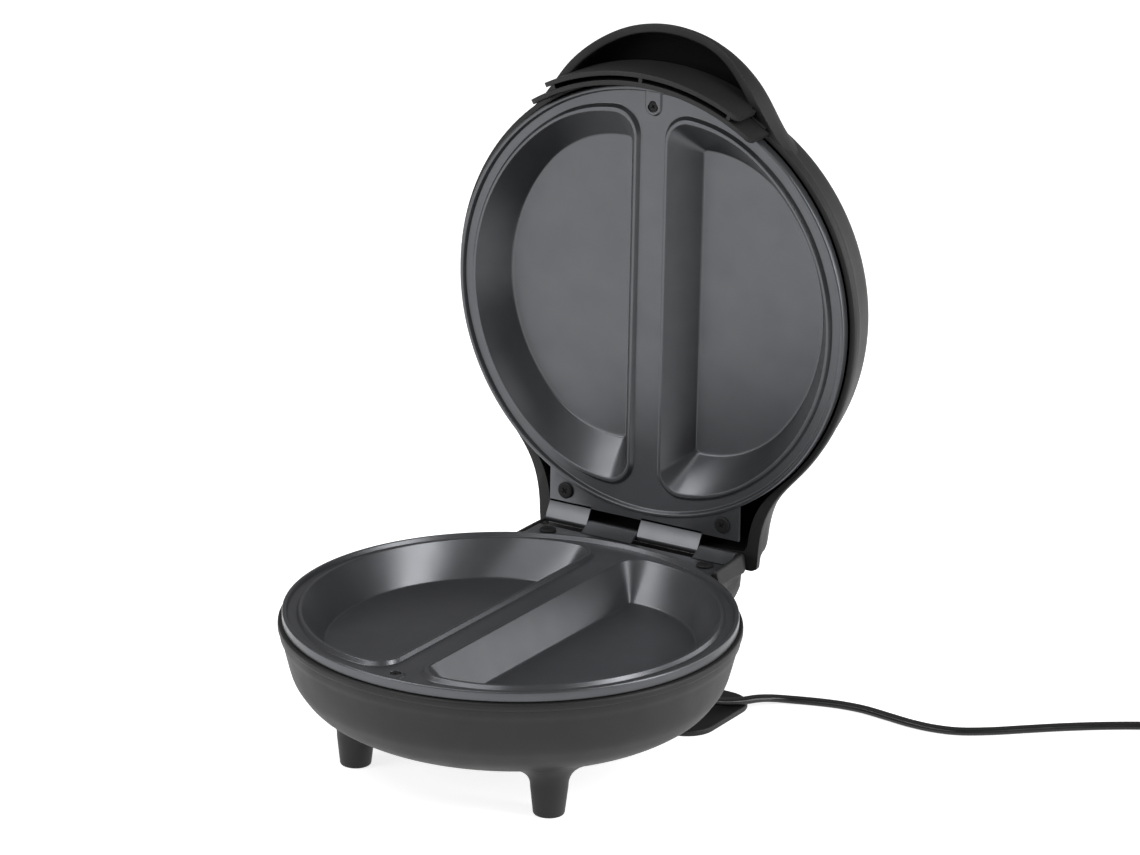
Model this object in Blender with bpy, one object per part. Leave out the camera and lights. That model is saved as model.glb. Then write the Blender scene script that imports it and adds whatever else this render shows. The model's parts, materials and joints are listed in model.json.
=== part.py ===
"""Electric omelette maker with two half-moon pockets in each plate, lid standing open."""
import math

import bmesh
import bpy
from mathutils import Matrix, Vector

# Every length is in metres. Heights in a half of the appliance are measured from the
# crest plane, the plane that touches the top of the plate's rim and beads, and a depth
# is the distance behind that plane, away from the food.

# Overall arrangement
CREST_HEIGHT = 0.0747
CLOSED_GAP = 0.0008
LID_OPEN_DEGREES = 90.0
FIT = 0.0003
OVERRUN = 0.0020
FLAT_TOLERANCE = 0.0000002

# Cooking plates
SKIRT_RADIUS = 0.1085
RIM_SET_BACK = 0.0015
RIM_CREST_RADIUS = SKIRT_RADIUS - RIM_SET_BACK
RIM_FOOT = 0.0016
SKIRT_WALL = 0.0015
SKIRT_DEPTH = 0.0050
SKIRT_TURN = 0.0012
WEB_DEPTH = 0.0020
PLATE_SHEET = 0.0015
POCKET_MARGIN = 0.0072
POCKET_CREST_RADIUS = RIM_CREST_RADIUS - POCKET_MARGIN
DIVIDER_HALF = 0.0087
POCKET_CORNER = 0.0120
SHOULDER_RADIUS = 0.0680
SHOULDER_DEGREES = 56.0
SHOULDER_TURN_DEGREES = 16.0
POCKET_DEPTH = 0.0170
WALL_RUN = 0.0114
FLOOR_FILLET = 0.0026
BEAD_HALF = 0.0021
CREST_FLAT = 0.0007
CORNER_DRAW_SHARE = 0.85
SHOULDER_DRAW_SHARE = 0.956
SHOULDER_STEP_SHARE = 0.4
RIM_SEGMENTS = 44
POCKET_ARC_STEPS = 14
POCKET_CORNER_STEPS = 3
POCKET_LINE_STEPS = 2

# Hinge tab and knuckles
TAB_HALF = 0.0543
PIVOT_CLEARANCE = 0.0115
PIVOT_Y = SKIRT_RADIUS + PIVOT_CLEARANCE
TAB_SET_BACK = 0.0080
TAB_REAR = PIVOT_Y - TAB_SET_BACK
TAB_SHEET = 0.0011
KNUCKLE_RADIUS = 0.0026
KNUCKLE_EDGES = (-TAB_HALF, -0.0302, -0.0014, 0.0335, TAB_HALF)
KNUCKLE_END_DEGREES = -165.0
KNUCKLE_STEPS = 12
PIN_CLEARANCE = 0.00025
PIN_CAP_RADIUS = 0.0022
PIN_CAP_THICKNESS = 0.0008

# Plate screws
REAR_SCREW_EDGE = 0.0093
REAR_SCREW_X = TAB_HALF - REAR_SCREW_EDGE
REAR_SCREW_INSET = 0.0070
REAR_SCREW_Y = TAB_REAR - REAR_SCREW_INSET
FRONT_SCREW_INSET = 0.0083
FRONT_SCREW_Y = -(RIM_CREST_RADIUS - FRONT_SCREW_INSET)
REAR_HEAD_RADIUS = 0.00415
REAR_HEAD_HEIGHT = 0.0010
FRONT_HEAD_RADIUS = 0.0026
FRONT_HOLE_RADIUS = 0.00285
SEAT_FOOT_HALF = 0.0048
SEAT_HALF = 0.0040
SEAT_RISE = 0.0009
SCREW_RADIUS = 0.0016
SCREW_LENGTH = 0.0120
SCREW_CLEARANCE = 0.0003
SCREW_SEGMENTS = 12
PAD_RADIUS = 0.0046
BOSS_RADIUS = 0.0046

# Moulded shells
SHELL_OVERHANG = 0.0020
SHELL_RIM_RADIUS = SKIRT_RADIUS + SHELL_OVERHANG
LID_RIM_EXTRA = 0.0015
SHELL_DEPTH = 0.0545
SHELL_WALL = 0.0026
BEAD_BAND = 0.0034
BEAD_PROUD = 0.0009
LID_NECK_HALF = 0.0630
BASE_NECK_HALF = 0.0585
BASE_NECK_REAR = PIVOT_Y + 0.0020
LID_NECK_REAR = PIVOT_Y + 0.0080
LID_NECK_STEP = 0.0070
LID_NECK_LIP = 0.0036
LID_NECK_BLEND = 0.0280
BASE_NECK_BLEND = 0.0140
NECK_CORNER_BLEND = 0.0050
# Bowl below the bead: share of the depth, share of the rim radius
BOWL_SHARES = (
    (0.17, 0.992), (0.33, 0.972), (0.55, 0.943), (0.66, 0.914), (0.77, 0.869),
    (0.862, 0.801), (0.923, 0.729), (0.972, 0.643), (1.0, 0.560),
)
# Neck below the bead: share of the depth, share of the half width, share of the reach
NECK_SHARES = (
    (0.0, 1.0, 1.0), (0.26, 0.985, 0.99), (0.33, 0.968, 0.975), (0.46, 0.905, 0.93),
    (0.62, 0.82, 0.86), (0.77, 0.735, 0.78), (0.92, 0.56, 0.62), (1.0, 0.45, 0.45),
)

# Hinge ears of the base shell
EAR_INNER = TAB_HALF + 0.0015
EAR_ROOT_INSET = 0.0004
EAR_WIDTH = 0.0050
EAR_LENGTH = 0.0295
EAR_REAR = PIVOT_Y + 0.0038
EAR_RISE = 0.0030
EAR_LOW = 0.0046
EAR_UNDER = 0.0055
EAR_ROOT = 0.0120
EAR_ROOT_WIDTH = 0.0018
# Along an ear: share of the length, share of the rise, share of the width, root depth share
EAR_SHARES = (
    (0.0, 0.20, 0.84, 1.0), (0.05, 0.55, 0.92, 1.0), (0.30, 0.70, 1.0, 1.0),
    (0.60, 0.88, 1.0, 1.0), (0.78, 1.0, 0.98, 0.8), (0.88, 0.92, 0.74, 0.6),
    (0.96, 0.50, 0.46, 0.5), (1.0, -0.50, 0.30, 0.5),
)
# Across an ear: share of the width, share of the height above its lower edge
EAR_SECTION = ((0.0, 0.86), (0.1, 1.0), (0.34, 0.98), (0.72, 0.78), (0.95, 0.40), (1.0, 0.0))

# Front legs of the base shell
LEG_X = 0.0536
LEG_Y = -0.0515
LEG_FOOT_RADIUS = 0.0066
LEG_WAIST_RADIUS = 0.0092
LEG_FLARE_RADIUS = 0.0165
LEG_FLARE_HEIGHT = 0.0100
LEG_FOOT_ROUND = 0.0012
LEG_SEGMENTS = 16

# Hub under the rear of the base shell, and the cord-wrap plate below it
HUB_HALF = 0.0180
HUB_FRONT = 0.0700
HUB_REAR = 0.1080
HUB_CORNER = 0.0060
HUB_TOP = 0.0450
WRAP_HALF = 0.0662
WRAP_FRONT = 0.0650
WRAP_REAR = 0.1250
WRAP_CORNER = 0.0150
WRAP_THICKNESS = 0.0030
WRAP_EDGE = 0.0006
WRAP_SCREW_X = 0.0130
WRAP_SCREW_Y = 0.0790
WRAP_SCREW_HEAD = 0.0030
WRAP_SCREW_HEAD_HEIGHT = 0.0016
WRAP_SCREW_LENGTH = 0.0110
WRAP_BOSS_RADIUS = 0.0042

# Hood over the front of the lid, for the fingers
HOOD_INSET = 0.0405
HOOD_CENTRE_Y = -(SHELL_RIM_RADIUS - HOOD_INSET)
HOOD_RADIUS = 0.0662
HOOD_BLEND = 0.0120
HOOD_SINK = 0.0008
HOOD_LIP_DEPTH = 0.0146
HOOD_TOP_DEPTH = 0.0500
HOOD_DRAW = 0.0540
HOOD_WALL = 0.0045
HOOD_VOID_TOP = 0.0300
HOOD_SEGMENTS = 32

# Double-walled apron under the hood
APRON_INNER_RADIUS = SHELL_RIM_RADIUS + LID_RIM_EXTRA + FIT
APRON_SPACING = 0.0060
APRON_OUTER_RADIUS = APRON_INNER_RADIUS + APRON_SPACING
APRON_WALL = 0.0017
APRON_REACH = 0.0118
APRON_ROOT_TOP = 0.0050
APRON_INNER_DEGREES = 33.5
APRON_OUTER_DEGREES = 28.0
APRON_SEGMENTS = 12
APRON_ROOT_INSET_DEGREES = 1.0
APRON_RIB = 0.0016
APRON_RIB_DEGREES = (-20.0, 0.0, 20.0)
APRON_RIB_DROP = 0.0030
PEG_DEGREES = 11.0
PEG_RADIUS = 0.0012
PEG_LENGTH = 0.0060
PEG_POST_RADIUS = 0.0028

# Heating elements
ELEMENT_RING_RADIUS = 0.0620
ELEMENT_TUBE_RADIUS = 0.0032
ELEMENT_GAP_DEGREES = 16.0
ELEMENT_BEND = 0.0120
ELEMENT_BEND_STEPS = 3
ELEMENT_TAIL = 0.0080
ELEMENT_STEPS = 22
TERMINAL_STUD_RADIUS = 0.0014
TERMINAL_STUD_LENGTH = 0.0080
CLIP_WIDTH = 0.0100
CLIP_SHEET = 0.0010
CLIP_FOOT = 0.0060

# Heat reflectors
REFLECTOR_DEPTH = 0.0300
REFLECTOR_FLAT_RADIUS = 0.0790
REFLECTOR_RIM_RADIUS = 0.0860
REFLECTOR_RIM_RISE = 0.0040
REFLECTOR_HOLE_RADIUS = 0.0160
REFLECTOR_SHEET = 0.0008
REFLECTOR_SEGMENTS = 24
POST_RADIUS = 0.0035
POST_RING_RADIUS = 0.0700
POST_DEGREES = (0.0, 125.0, 235.0)

# Thermostat and thermal fuse
CONTROL_X = 0.0380
THERMOSTAT_RADIUS = 0.0080
THERMOSTAT_HEIGHT = 0.0080
THERMOSTAT_FLANGE = 0.0020
THERMOSTAT_FLANGE_HEIGHT = 0.0012
FUSE_RADIUS = 0.0026
FUSE_LENGTH = 0.0220

# Terminal block
BLOCK_LENGTH = 0.0300
BLOCK_WIDTH = 0.0120
BLOCK_HEIGHT = 0.0110
BLOCK_Y = 0.0420
BLOCK_SCREW_RADIUS = 0.0021
BLOCK_SCREW_SINK = 0.0012
BLOCK_WAYS = 3

# Inner wires
WIRE_RADIUS = 0.0011
WIRE_STANDOFF = 0.0100
WIRE_HALF = 0.0040
WIRE_HINGE_Y = 0.1130
WIRE_HINGE_DEPTH = 0.0100
INNER_CORD_RADIUS = 0.0020

# Indicator lamps in the lid
LENS_X = 0.0120
LENS_Y = -0.0400
LENS_RADIUS = 0.0036
LENS_FLANGE_RADIUS = 0.0048
LENS_FLANGE = 0.0010
LENS_PROUD = 0.0012
LAMP_RADIUS = 0.0024
LAMP_LENGTH = 0.0110
LAMP_HOLDER_THICKNESS = 0.0015
LAMP_HOLDER_HALF_X = 0.0220
LAMP_HOLDER_HALF_Y = 0.0070

# Cord, its bushing, its clamp and its plug
CORD_RADIUS = 0.0028
CORD_LIFT = 0.0001
BUSHING_ROOT_RADIUS = 0.0046
BUSHING_TIP_RADIUS = 0.0036
BUSHING_LENGTH = 0.0210
BUSHING_Y = 0.0970
BUSHING_HEIGHT = 0.0084
BUSHING_COLLAR_RADIUS = 0.0048
BUSHING_COLLAR = 0.0016
BUSHING_FLANGE_RADIUS = 0.0050
BUSHING_SEGMENTS = 14
CLAMP_Y = 0.0580
CLAMP_HALF = 0.0080
CLAMP_WIDTH = 0.0070
CLAMP_SHEET = 0.0020
CLAMP_BOSS_RADIUS = 0.0030
CLAMP_SCREW_RADIUS = 0.0012
CLAMP_SCREW_HEAD = 0.0024
CLAMP_SCREW_LENGTH = 0.0060
COIL_CENTRE = Vector((0.2960, 0.1490, 0.0))
COIL_MEAN_RADIUS = 0.0300
COIL_PITCH = 0.0063
COIL_TURNS = 3.2
COIL_POINTS_PER_TURN = 24
COIL_START_DEGREES = 90.0
TIE_WIDTH = 0.0060
TIE_SHEET = 0.0008
TIE_ROOM = 0.0005
TIE_DEGREES = 262.0
PLUG_LENGTH = 0.0280
PLUG_WIDTH = 0.0230
PLUG_NOSE_WIDTH = 0.0250
PLUG_NECK_LENGTH = 0.0200
BLADE_LENGTH = 0.0170
BLADE_WIDTH = 0.0063
BLADE_THICKNESS = 0.0015
BLADE_PITCH = 0.0127

# The cord's own route over the wrap plate and the table, from the bushing to the coil
CORD_ROUTE = (
    (0.0450, 0.0650, 0.0082), (0.0515, 0.0678, 0.0071), (0.0570, 0.0728, 0.0062),
    (0.0630, 0.0800, 0.0060), (0.0680, 0.0880, 0.0058), (0.0722, 0.0955, 0.0045),
    (0.0795, 0.1022, 0.0032), (0.0910, 0.1072, 0.0029), (0.1025, 0.1103, 0.0029),
    (0.1150, 0.1114, 0.0029), (0.1292, 0.1098, 0.0029), (0.1429, 0.1082, 0.0029),
    (0.1559, 0.1089, 0.0029), (0.1675, 0.1126, 0.0029), (0.1800, 0.1215, 0.0029),
    (0.1930, 0.1335, 0.0029), (0.2070, 0.1462, 0.0029), (0.2230, 0.1588, 0.0030),
    (0.2410, 0.1702, 0.0033), (0.2600, 0.1787, 0.0038),
)
CORD_STEPS = 2


def clear_scene():
    """Remove every object, so that the script starts from nothing."""
    for item in list(bpy.data.objects):
        bpy.data.objects.remove(item, do_unlink=True)


def make_material(name, colour, roughness, metallic=0.0):
    """A plain Principled finish."""
    material = bpy.data.materials.new(name)
    material.use_nodes = True
    shader = material.node_tree.nodes["Principled BSDF"]
    shader.inputs["Base Color"].default_value = (*colour, 1.0)
    shader.inputs["Roughness"].default_value = roughness
    shader.inputs["Metallic"].default_value = metallic
    return material


def make_empty(name, parent, location, rotation=(0.0, 0.0, 0.0)):
    """An empty that carries a group of pieces."""
    empty = bpy.data.objects.new(name, None)
    bpy.context.scene.collection.objects.link(empty)
    empty.parent = parent
    empty.location = location
    empty.rotation_euler = rotation
    return empty


def bend_of(face):
    """How far the farthest corner of a face is from the face's own plane."""
    middle = face.calc_center_median()
    return max(abs((vert.co - middle).dot(face.normal)) for vert in face.verts)


def finish_mesh(name, bm):
    """Close a bmesh off as mesh data of flat faces, outward, with round parts smooth."""
    bmesh.ops.recalc_face_normals(bm, faces=bm.faces)
    bent = [face for face in bm.faces if bend_of(face) > FLAT_TOLERANCE]
    bmesh.ops.triangulate(bm, faces=bent)
    mesh = bpy.data.meshes.new(name)
    bm.to_mesh(mesh)
    bm.free()
    mesh.shade_smooth()
    mesh.set_sharp_from_angle(angle=math.radians(32.0))
    return mesh


def place(name, mesh, parent, material=None, location=(0.0, 0.0, 0.0)):
    """Put a mesh in the scene as one named object."""
    item = bpy.data.objects.new(name, mesh)
    bpy.context.scene.collection.objects.link(item)
    item.parent = parent
    item.location = location
    if material and not mesh.materials:
        mesh.materials.append(material)
    return item


def cutter(name, mesh, parent):
    """A solid that only shapes another one."""
    item = place(name, mesh, parent)
    item.hide_render = True
    item.display_type = "WIRE"
    return item


def combine(item, operation, tool):
    """Add an exact Boolean with another object."""
    modifier = item.modifiers.new(f"{operation.lower()} {tool.name}", "BOOLEAN")
    modifier.operation = operation
    modifier.solver = "EXACT"
    modifier.object = tool


def add_loft(bm, rings):
    """A closed skin over flat rings of equal count, with a face over each end ring."""
    rows = [[bm.verts.new(point) for point in ring] for ring in rings]
    for lower, upper in zip(rows, rows[1:]):
        for index in range(len(lower)):
            after = (index + 1) % len(lower)
            bm.faces.new((lower[index], lower[after], upper[after], upper[index]))
    for row in (rows[0], rows[-1]):
        bm.faces.new(row)


def add_ring_skin(bm, rings):
    """A closed skin over rings of equal count that runs back to its first ring."""
    rows = [[bm.verts.new(point) for point in ring] for ring in rings]
    for lower, upper in zip(rows, rows[1:] + rows[:1]):
        for index in range(len(lower)):
            after = (index + 1) % len(lower)
            bm.faces.new((lower[index], lower[after], upper[after], upper[index]))


def circle_points(radius, height, segments, centre=(0.0, 0.0)):
    """Points round a level circle."""
    turn = math.tau / segments
    return [
        Vector((
            centre[0] + radius * math.cos(turn * step),
            centre[1] + radius * math.sin(turn * step),
            height,
        ))
        for step in range(segments)
    ]


def add_turned(bm, profile, segments, centre=(0.0, 0.0)):
    """A solid turned about a vertical axis from (radius, height) pairs."""
    add_loft(bm, [circle_points(r, z, segments, centre) for r, z in profile])


def add_turned_ring(bm, profile, segments, centre=(0.0, 0.0)):
    """A ring turned about a vertical axis from a closed (radius, height) outline."""
    add_ring_skin(bm, [circle_points(r, z, segments, centre) for r, z in profile])


def add_prism(bm, outline, bottom, top):
    """An outline in X and Y, drawn up from one height to another."""
    low = [bm.verts.new((x, y, bottom)) for x, y in outline]
    high = [bm.verts.new((x, y, top)) for x, y in outline]
    bm.faces.new(low)
    bm.faces.new(high)
    for index in range(len(outline)):
        after = (index + 1) % len(outline)
        bm.faces.new((low[index], low[after], high[after], high[index]))


def add_bar(bm, outline, start, end):
    """An outline in Y and Z, drawn along X."""
    left = [bm.verts.new((start, y, z)) for y, z in outline]
    right = [bm.verts.new((end, y, z)) for y, z in outline]
    bm.faces.new(left)
    bm.faces.new(right)
    for index in range(len(outline)):
        after = (index + 1) % len(outline)
        bm.faces.new((left[index], left[after], right[after], right[index]))


def rounded_rectangle(half_x, front, rear, corner, steps=5):
    """Points of a rectangle between two Y values, with round corners."""
    points = []
    centres = (
        (half_x - corner, rear - corner, 0.0),
        (-half_x + corner, rear - corner, 90.0),
        (-half_x + corner, front + corner, 180.0),
        (half_x - corner, front + corner, 270.0),
    )
    for x, y, start in centres:
        for step in range(steps + 1):
            angle = math.radians(start + 90.0 * step / steps)
            points.append((x + corner * math.cos(angle), y + corner * math.sin(angle)))
    return points


def polar(radius, degrees):
    """A point in X and Y at a bearing from +X."""
    angle = math.radians(degrees)
    return (radius * math.cos(angle), radius * math.sin(angle))


def soft_max(first, second, blend):
    """The larger of two lengths, rounded over where they meet."""
    mix = max(blend - abs(first - second), 0.0) / blend
    return max(first, second) + mix * mix * blend / 4


def soft_min(first, second, blend):
    """The smaller of two lengths, rounded over where they meet."""
    return -soft_max(-first, -second, blend)


def along(shares, share):
    """Read the columns of a table of shares at one share, by straight steps."""
    for low, high in zip(shares, shares[1:]):
        if share <= high[0]:
            mix = (share - low[0]) / (high[0] - low[0])
            mix = max(mix, 0.0)
            return [a + (b - a) * mix for a, b in zip(low[1:], high[1:])]
    return list(shares[-1][1:])


def make_tube(name, lines, radius, parent, material, resolution=2):
    """Filled tubes along straight steps between points, one for each line."""
    curve = bpy.data.curves.new(name, "CURVE")
    curve.dimensions = "3D"
    curve.bevel_depth = radius
    curve.bevel_resolution = resolution
    curve.use_fill_caps = True
    for points in lines:
        add_spline(curve, points)
    curve.materials.append(material)
    item = bpy.data.objects.new(name, curve)
    bpy.context.scene.collection.objects.link(item)
    item.parent = parent
    return item


def add_spline(curve, points):
    """One open line of straight steps in a curve."""
    spline = curve.splines.new("POLY")
    spline.points.add(len(points) - 1)
    for slot, point in zip(spline.points, points):
        slot.co = (*point, 1.0)


def smooth_path(route, steps):
    """Points on a smooth curve through the points of a route."""
    ends = [2 * route[0] - route[1]] + list(route) + [2 * route[-1] - route[-2]]
    points = []
    for index in range(1, len(ends) - 2):
        before, start, end, after = ends[index - 1:index + 3]
        for step in range(steps):
            share = step / steps
            points.append(0.5 * (
                2 * start
                + (end - before) * share
                + (2 * before - 5 * start + 4 * end - after) * share ** 2
                + (3 * start - before - 3 * end + after) * share ** 3
            ))
    points.append(Vector(route[-1]))
    return points


def sides_of(lid):
    """Each side's sign in its half's own X, with the name of the side as the cook sees it."""
    if lid:
        return ((1, "left"), (-1, "right"))
    return ((1, "right"), (-1, "left"))


def add_pan_head_screw(bm, head, head_height, length):
    """A screw that points down, with the underside of its head at zero."""
    add_turned(bm, (
        (SCREW_RADIUS * 0.5, -length),
        (SCREW_RADIUS, -length + SCREW_RADIUS),
        (SCREW_RADIUS, 0.0),
        (head, 0.0),
        (head, head_height * 0.5),
        (head * 0.62, head_height),
    ), SCREW_SEGMENTS)


# Cooking plates

def pocket_outline(inset):
    """The half-moon outline of the pocket at +X, drawn in from its bead crest."""
    arc = POCKET_CREST_RADIUS - inset
    line = DIVIDER_HALF + inset
    corner = POCKET_CORNER - CORNER_DRAW_SHARE * inset
    turn = math.radians(SHOULDER_DEGREES - SHOULDER_TURN_DEGREES * inset / WALL_RUN)
    shoulder = SHOULDER_RADIUS - SHOULDER_DRAW_SHARE * inset
    hub_x = (arc - shoulder) * math.cos(turn)
    hub_y = (arc - shoulder) * math.sin(turn)
    centre_x = line + corner
    centre_y = hub_y + math.sqrt((shoulder - corner) ** 2 - (centre_x - hub_x) ** 2)
    bearing = math.atan2(centre_y - hub_y, centre_x - hub_x)
    bends = round(POCKET_ARC_STEPS * SHOULDER_STEP_SHARE / 2)
    half = POCKET_ARC_STEPS // 2 - bends
    points = []
    for step in range(bends):
        angle = -bearing + (bearing - turn) * step / bends
        points.append((hub_x + shoulder * math.cos(angle), -hub_y + shoulder * math.sin(angle)))
    for step in range(2 * half + 1):
        angle = turn * (step / half - 1)
        points.append((arc * math.cos(angle), arc * math.sin(angle)))
    for step in range(1, bends + 1):
        angle = turn + (bearing - turn) * step / bends
        points.append((hub_x + shoulder * math.cos(angle), hub_y + shoulder * math.sin(angle)))
    for step in range(1, POCKET_CORNER_STEPS + 1):
        angle = bearing + (math.pi - bearing) * step / POCKET_CORNER_STEPS
        points.append((
            centre_x + corner * math.cos(angle),
            centre_y + corner * math.sin(angle),
        ))
    for step in range(1, POCKET_LINE_STEPS + 1):
        points.append((line, centre_y * (1 - 2 * step / POCKET_LINE_STEPS)))
    for step in range(1, POCKET_CORNER_STEPS):
        angle = math.pi + (math.pi - bearing) * step / POCKET_CORNER_STEPS
        points.append((
            centre_x + corner * math.cos(angle),
            -centre_y + corner * math.sin(angle),
        ))
    return points


def pocket_profile():
    """Inset and height of the food side, from the bead's outer foot to the floor."""
    wall_top = (BEAD_HALF * 0.7, -WEB_DEPTH * 0.65)
    wall_low = (WALL_RUN - FLOOR_FILLET, -POCKET_DEPTH + FLOOR_FILLET)
    return [
        (-BEAD_HALF, -WEB_DEPTH),
        (-CREST_FLAT * 2, -WEB_DEPTH * 0.1),
        (-CREST_FLAT, 0.0),
        (CREST_FLAT, 0.0),
        wall_top,
        wall_low,
        (WALL_RUN - FLOOR_FILLET * 0.45, -POCKET_DEPTH + FLOOR_FILLET * 0.22),
        (WALL_RUN, -POCKET_DEPTH),
    ]


def pocket_under_profile():
    """Inset and height of the pocket's outside, from the web to the floor."""
    return [
        (BEAD_HALF * 0.7 - PLATE_SHEET, -WEB_DEPTH - PLATE_SHEET),
        (WALL_RUN - FLOOR_FILLET - PLATE_SHEET, -POCKET_DEPTH + FLOOR_FILLET - PLATE_SHEET),
        (WALL_RUN - PLATE_SHEET / 2, -POCKET_DEPTH - PLATE_SHEET),
    ]


def rim_profile():
    """Radius and height of the rim, from the web's edge over the crest to the underside."""
    return [
        (RIM_CREST_RADIUS - RIM_FOOT, -WEB_DEPTH),
        (RIM_CREST_RADIUS - CREST_FLAT, 0.0),
        (RIM_CREST_RADIUS + CREST_FLAT, 0.0),
        (SKIRT_RADIUS, -SKIRT_TURN),
        (SKIRT_RADIUS, -SKIRT_DEPTH),
        (SKIRT_RADIUS - SKIRT_WALL, -SKIRT_DEPTH),
        (SKIRT_RADIUS - SKIRT_WALL, -WEB_DEPTH - PLATE_SHEET),
    ]


def stitch(bm, lower, upper):
    """Faces between two closed rows of points."""
    for index in range(len(lower)):
        after = (index + 1) % len(lower)
        bm.faces.new((lower[index], lower[after], upper[after], upper[index]))


def row_edges(bm, row):
    """The edges of a closed row of points."""
    edges = []
    for index in range(len(row)):
        pair = (row[index], row[(index + 1) % len(row)])
        edges.append(bm.edges.get(pair) or bm.edges.new(pair))
    return edges


def add_pocket(bm, profile, side):
    """One pocket's skin, whose first row of points is left open."""
    rows = []
    for inset, height in profile:
        points = pocket_outline(inset)
        rows.append([bm.verts.new((side * x, y, height)) for x, y in points])
    for lower, upper in zip(rows, rows[1:]):
        stitch(bm, lower, upper)
    bm.faces.new(rows[-1])
    return rows[0]


def add_plate_disc(bm):
    """The round plate with its two pockets."""
    rim = []
    for radius, height in rim_profile():
        rim.append([bm.verts.new(p) for p in circle_points(radius, height, RIM_SEGMENTS)])
    for lower, upper in zip(rim, rim[1:]):
        stitch(bm, lower, upper)
    sides = ((pocket_profile(), rim[0]), (pocket_under_profile(), rim[-1]))
    for profile, outer in sides:
        edges = row_edges(bm, outer)
        for side in (1, -1):
            edges += row_edges(bm, add_pocket(bm, profile, side))
        bmesh.ops.triangle_fill(bm, edges=edges, use_beauty=True)


def tab_outline():
    """The hinge tab: out from under the rim to a straight rear edge."""
    inner = RIM_CREST_RADIUS - RIM_FOOT / 4
    start = math.degrees(math.acos(TAB_HALF / inner))
    steps = 10
    arc = [
        polar(inner, start + (180.0 - 2 * start) * step / steps)
        for step in range(steps + 1)
    ]
    return arc + [(-TAB_HALF, TAB_REAR), (TAB_HALF, TAB_REAR)]


def knuckle_outline():
    """One knuckle seen along the pin: a strip that climbs over the pin and curls round it."""
    centre = Vector((PIVOT_Y, CLOSED_GAP / 2))
    start = Vector((TAB_REAR, tab_top()))
    reach = centre - start
    slant = math.atan2(reach.y, reach.x) + math.asin(KNUCKLE_RADIUS / reach.length)
    first = math.degrees(slant) + 90.0
    over = []
    under = []
    for step in range(KNUCKLE_STEPS + 1):
        turn = first + (KNUCKLE_END_DEGREES - first) * step / KNUCKLE_STEPS
        out = Vector(polar(1.0, turn))
        over.append(centre + out * KNUCKLE_RADIUS)
        under.append(centre + out * (KNUCKLE_RADIUS - TAB_SHEET))
    lead = start - Vector((OVERRUN, TAB_SHEET * 0.1))
    bend = start + Vector((TAB_SHEET * 0.27, -TAB_SHEET))
    low = lead - Vector((0.0, TAB_SHEET * 0.8))
    return [lead, start - Vector((0.0, TAB_SHEET * 0.1))] + over + under[::-1] + [bend, low]


def screw_places():
    """Where the three screws of a plate stand, with the head's radius."""
    return (
        (REAR_SCREW_X, REAR_SCREW_Y, REAR_HEAD_RADIUS),
        (-REAR_SCREW_X, REAR_SCREW_Y, REAR_HEAD_RADIUS),
        (0.0, FRONT_SCREW_Y, FRONT_HEAD_RADIUS),
    )


def tab_top():
    """Height of the tab's food side."""
    return CLOSED_GAP / 2 - KNUCKLE_RADIUS + TAB_SHEET


def seat_outline(half, height):
    """The raised seat of the front screw at one height: round inside, open to the rim."""
    steps = 8
    foot = -RIM_CREST_RADIUS + RIM_FOOT / 2
    points = [Vector((half, foot, height))]
    for step in range(steps + 1):
        x, y = polar(half, 180.0 * step / steps)
        points.append(Vector((x, FRONT_SCREW_Y + y, height)))
    points.append(Vector((-half, foot, height)))
    return points


def seat_sink():
    """Height of the floor under the front screw's head."""
    return -WEB_DEPTH + SEAT_RISE - REAR_HEAD_HEIGHT - 2 * FIT


def make_plate(name, parent, material, spans):
    """A cooking plate with its hinge tab and the knuckles over the given spans."""
    bm = bmesh.new()
    add_plate_disc(bm)
    plate = place(name, finish_mesh(name, bm), parent, material)

    bm = bmesh.new()
    add_prism(bm, tab_outline(), tab_top() - TAB_SHEET, tab_top())
    combine(plate, "UNION", cutter(name + " tab", finish_mesh(name + " tab", bm), parent))

    bm = bmesh.new()
    for start, end in spans:
        add_bar(bm, knuckle_outline(), start + FIT / 2, end - FIT / 2)
    for x, y, _ in screw_places():
        pad_top = tab_top() - TAB_SHEET / 2 if y > 0 else -WEB_DEPTH - PLATE_SHEET / 2
        add_turned(bm, ((PAD_RADIUS, -SKIRT_DEPTH), (PAD_RADIUS, pad_top)), 16, (x, y))
    extras = cutter(name + " knuckles", finish_mesh(name + " knuckles", bm), parent)
    combine(plate, "UNION", extras)

    bm = bmesh.new()
    add_loft(bm, [
        seat_outline(SEAT_FOOT_HALF, -WEB_DEPTH - PLATE_SHEET / 2),
        seat_outline(SEAT_FOOT_HALF, -WEB_DEPTH),
        seat_outline(SEAT_HALF, -WEB_DEPTH + SEAT_RISE),
    ])
    seat = cutter(name + " seat", finish_mesh(name + " seat", bm), parent)
    combine(plate, "UNION", seat)

    bm = bmesh.new()
    for x, y, _ in screw_places():
        hole = SCREW_RADIUS + SCREW_CLEARANCE
        bottom = -SKIRT_DEPTH - OVERRUN
        add_turned(bm, ((hole, bottom), (hole, OVERRUN)), 14, (x, y))
    sink = (
        (FRONT_HOLE_RADIUS, seat_sink()), (FRONT_HOLE_RADIUS, OVERRUN),
    )
    wells = bmesh.new()
    add_turned(wells, sink, 14, (0.0, FRONT_SCREW_Y))
    holes = cutter(name + " holes", finish_mesh(name + " holes", bm), parent)
    combine(plate, "DIFFERENCE", holes)
    well = cutter(name + " well", finish_mesh(name + " well", wells), parent)
    combine(plate, "DIFFERENCE", well)
    return plate


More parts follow.
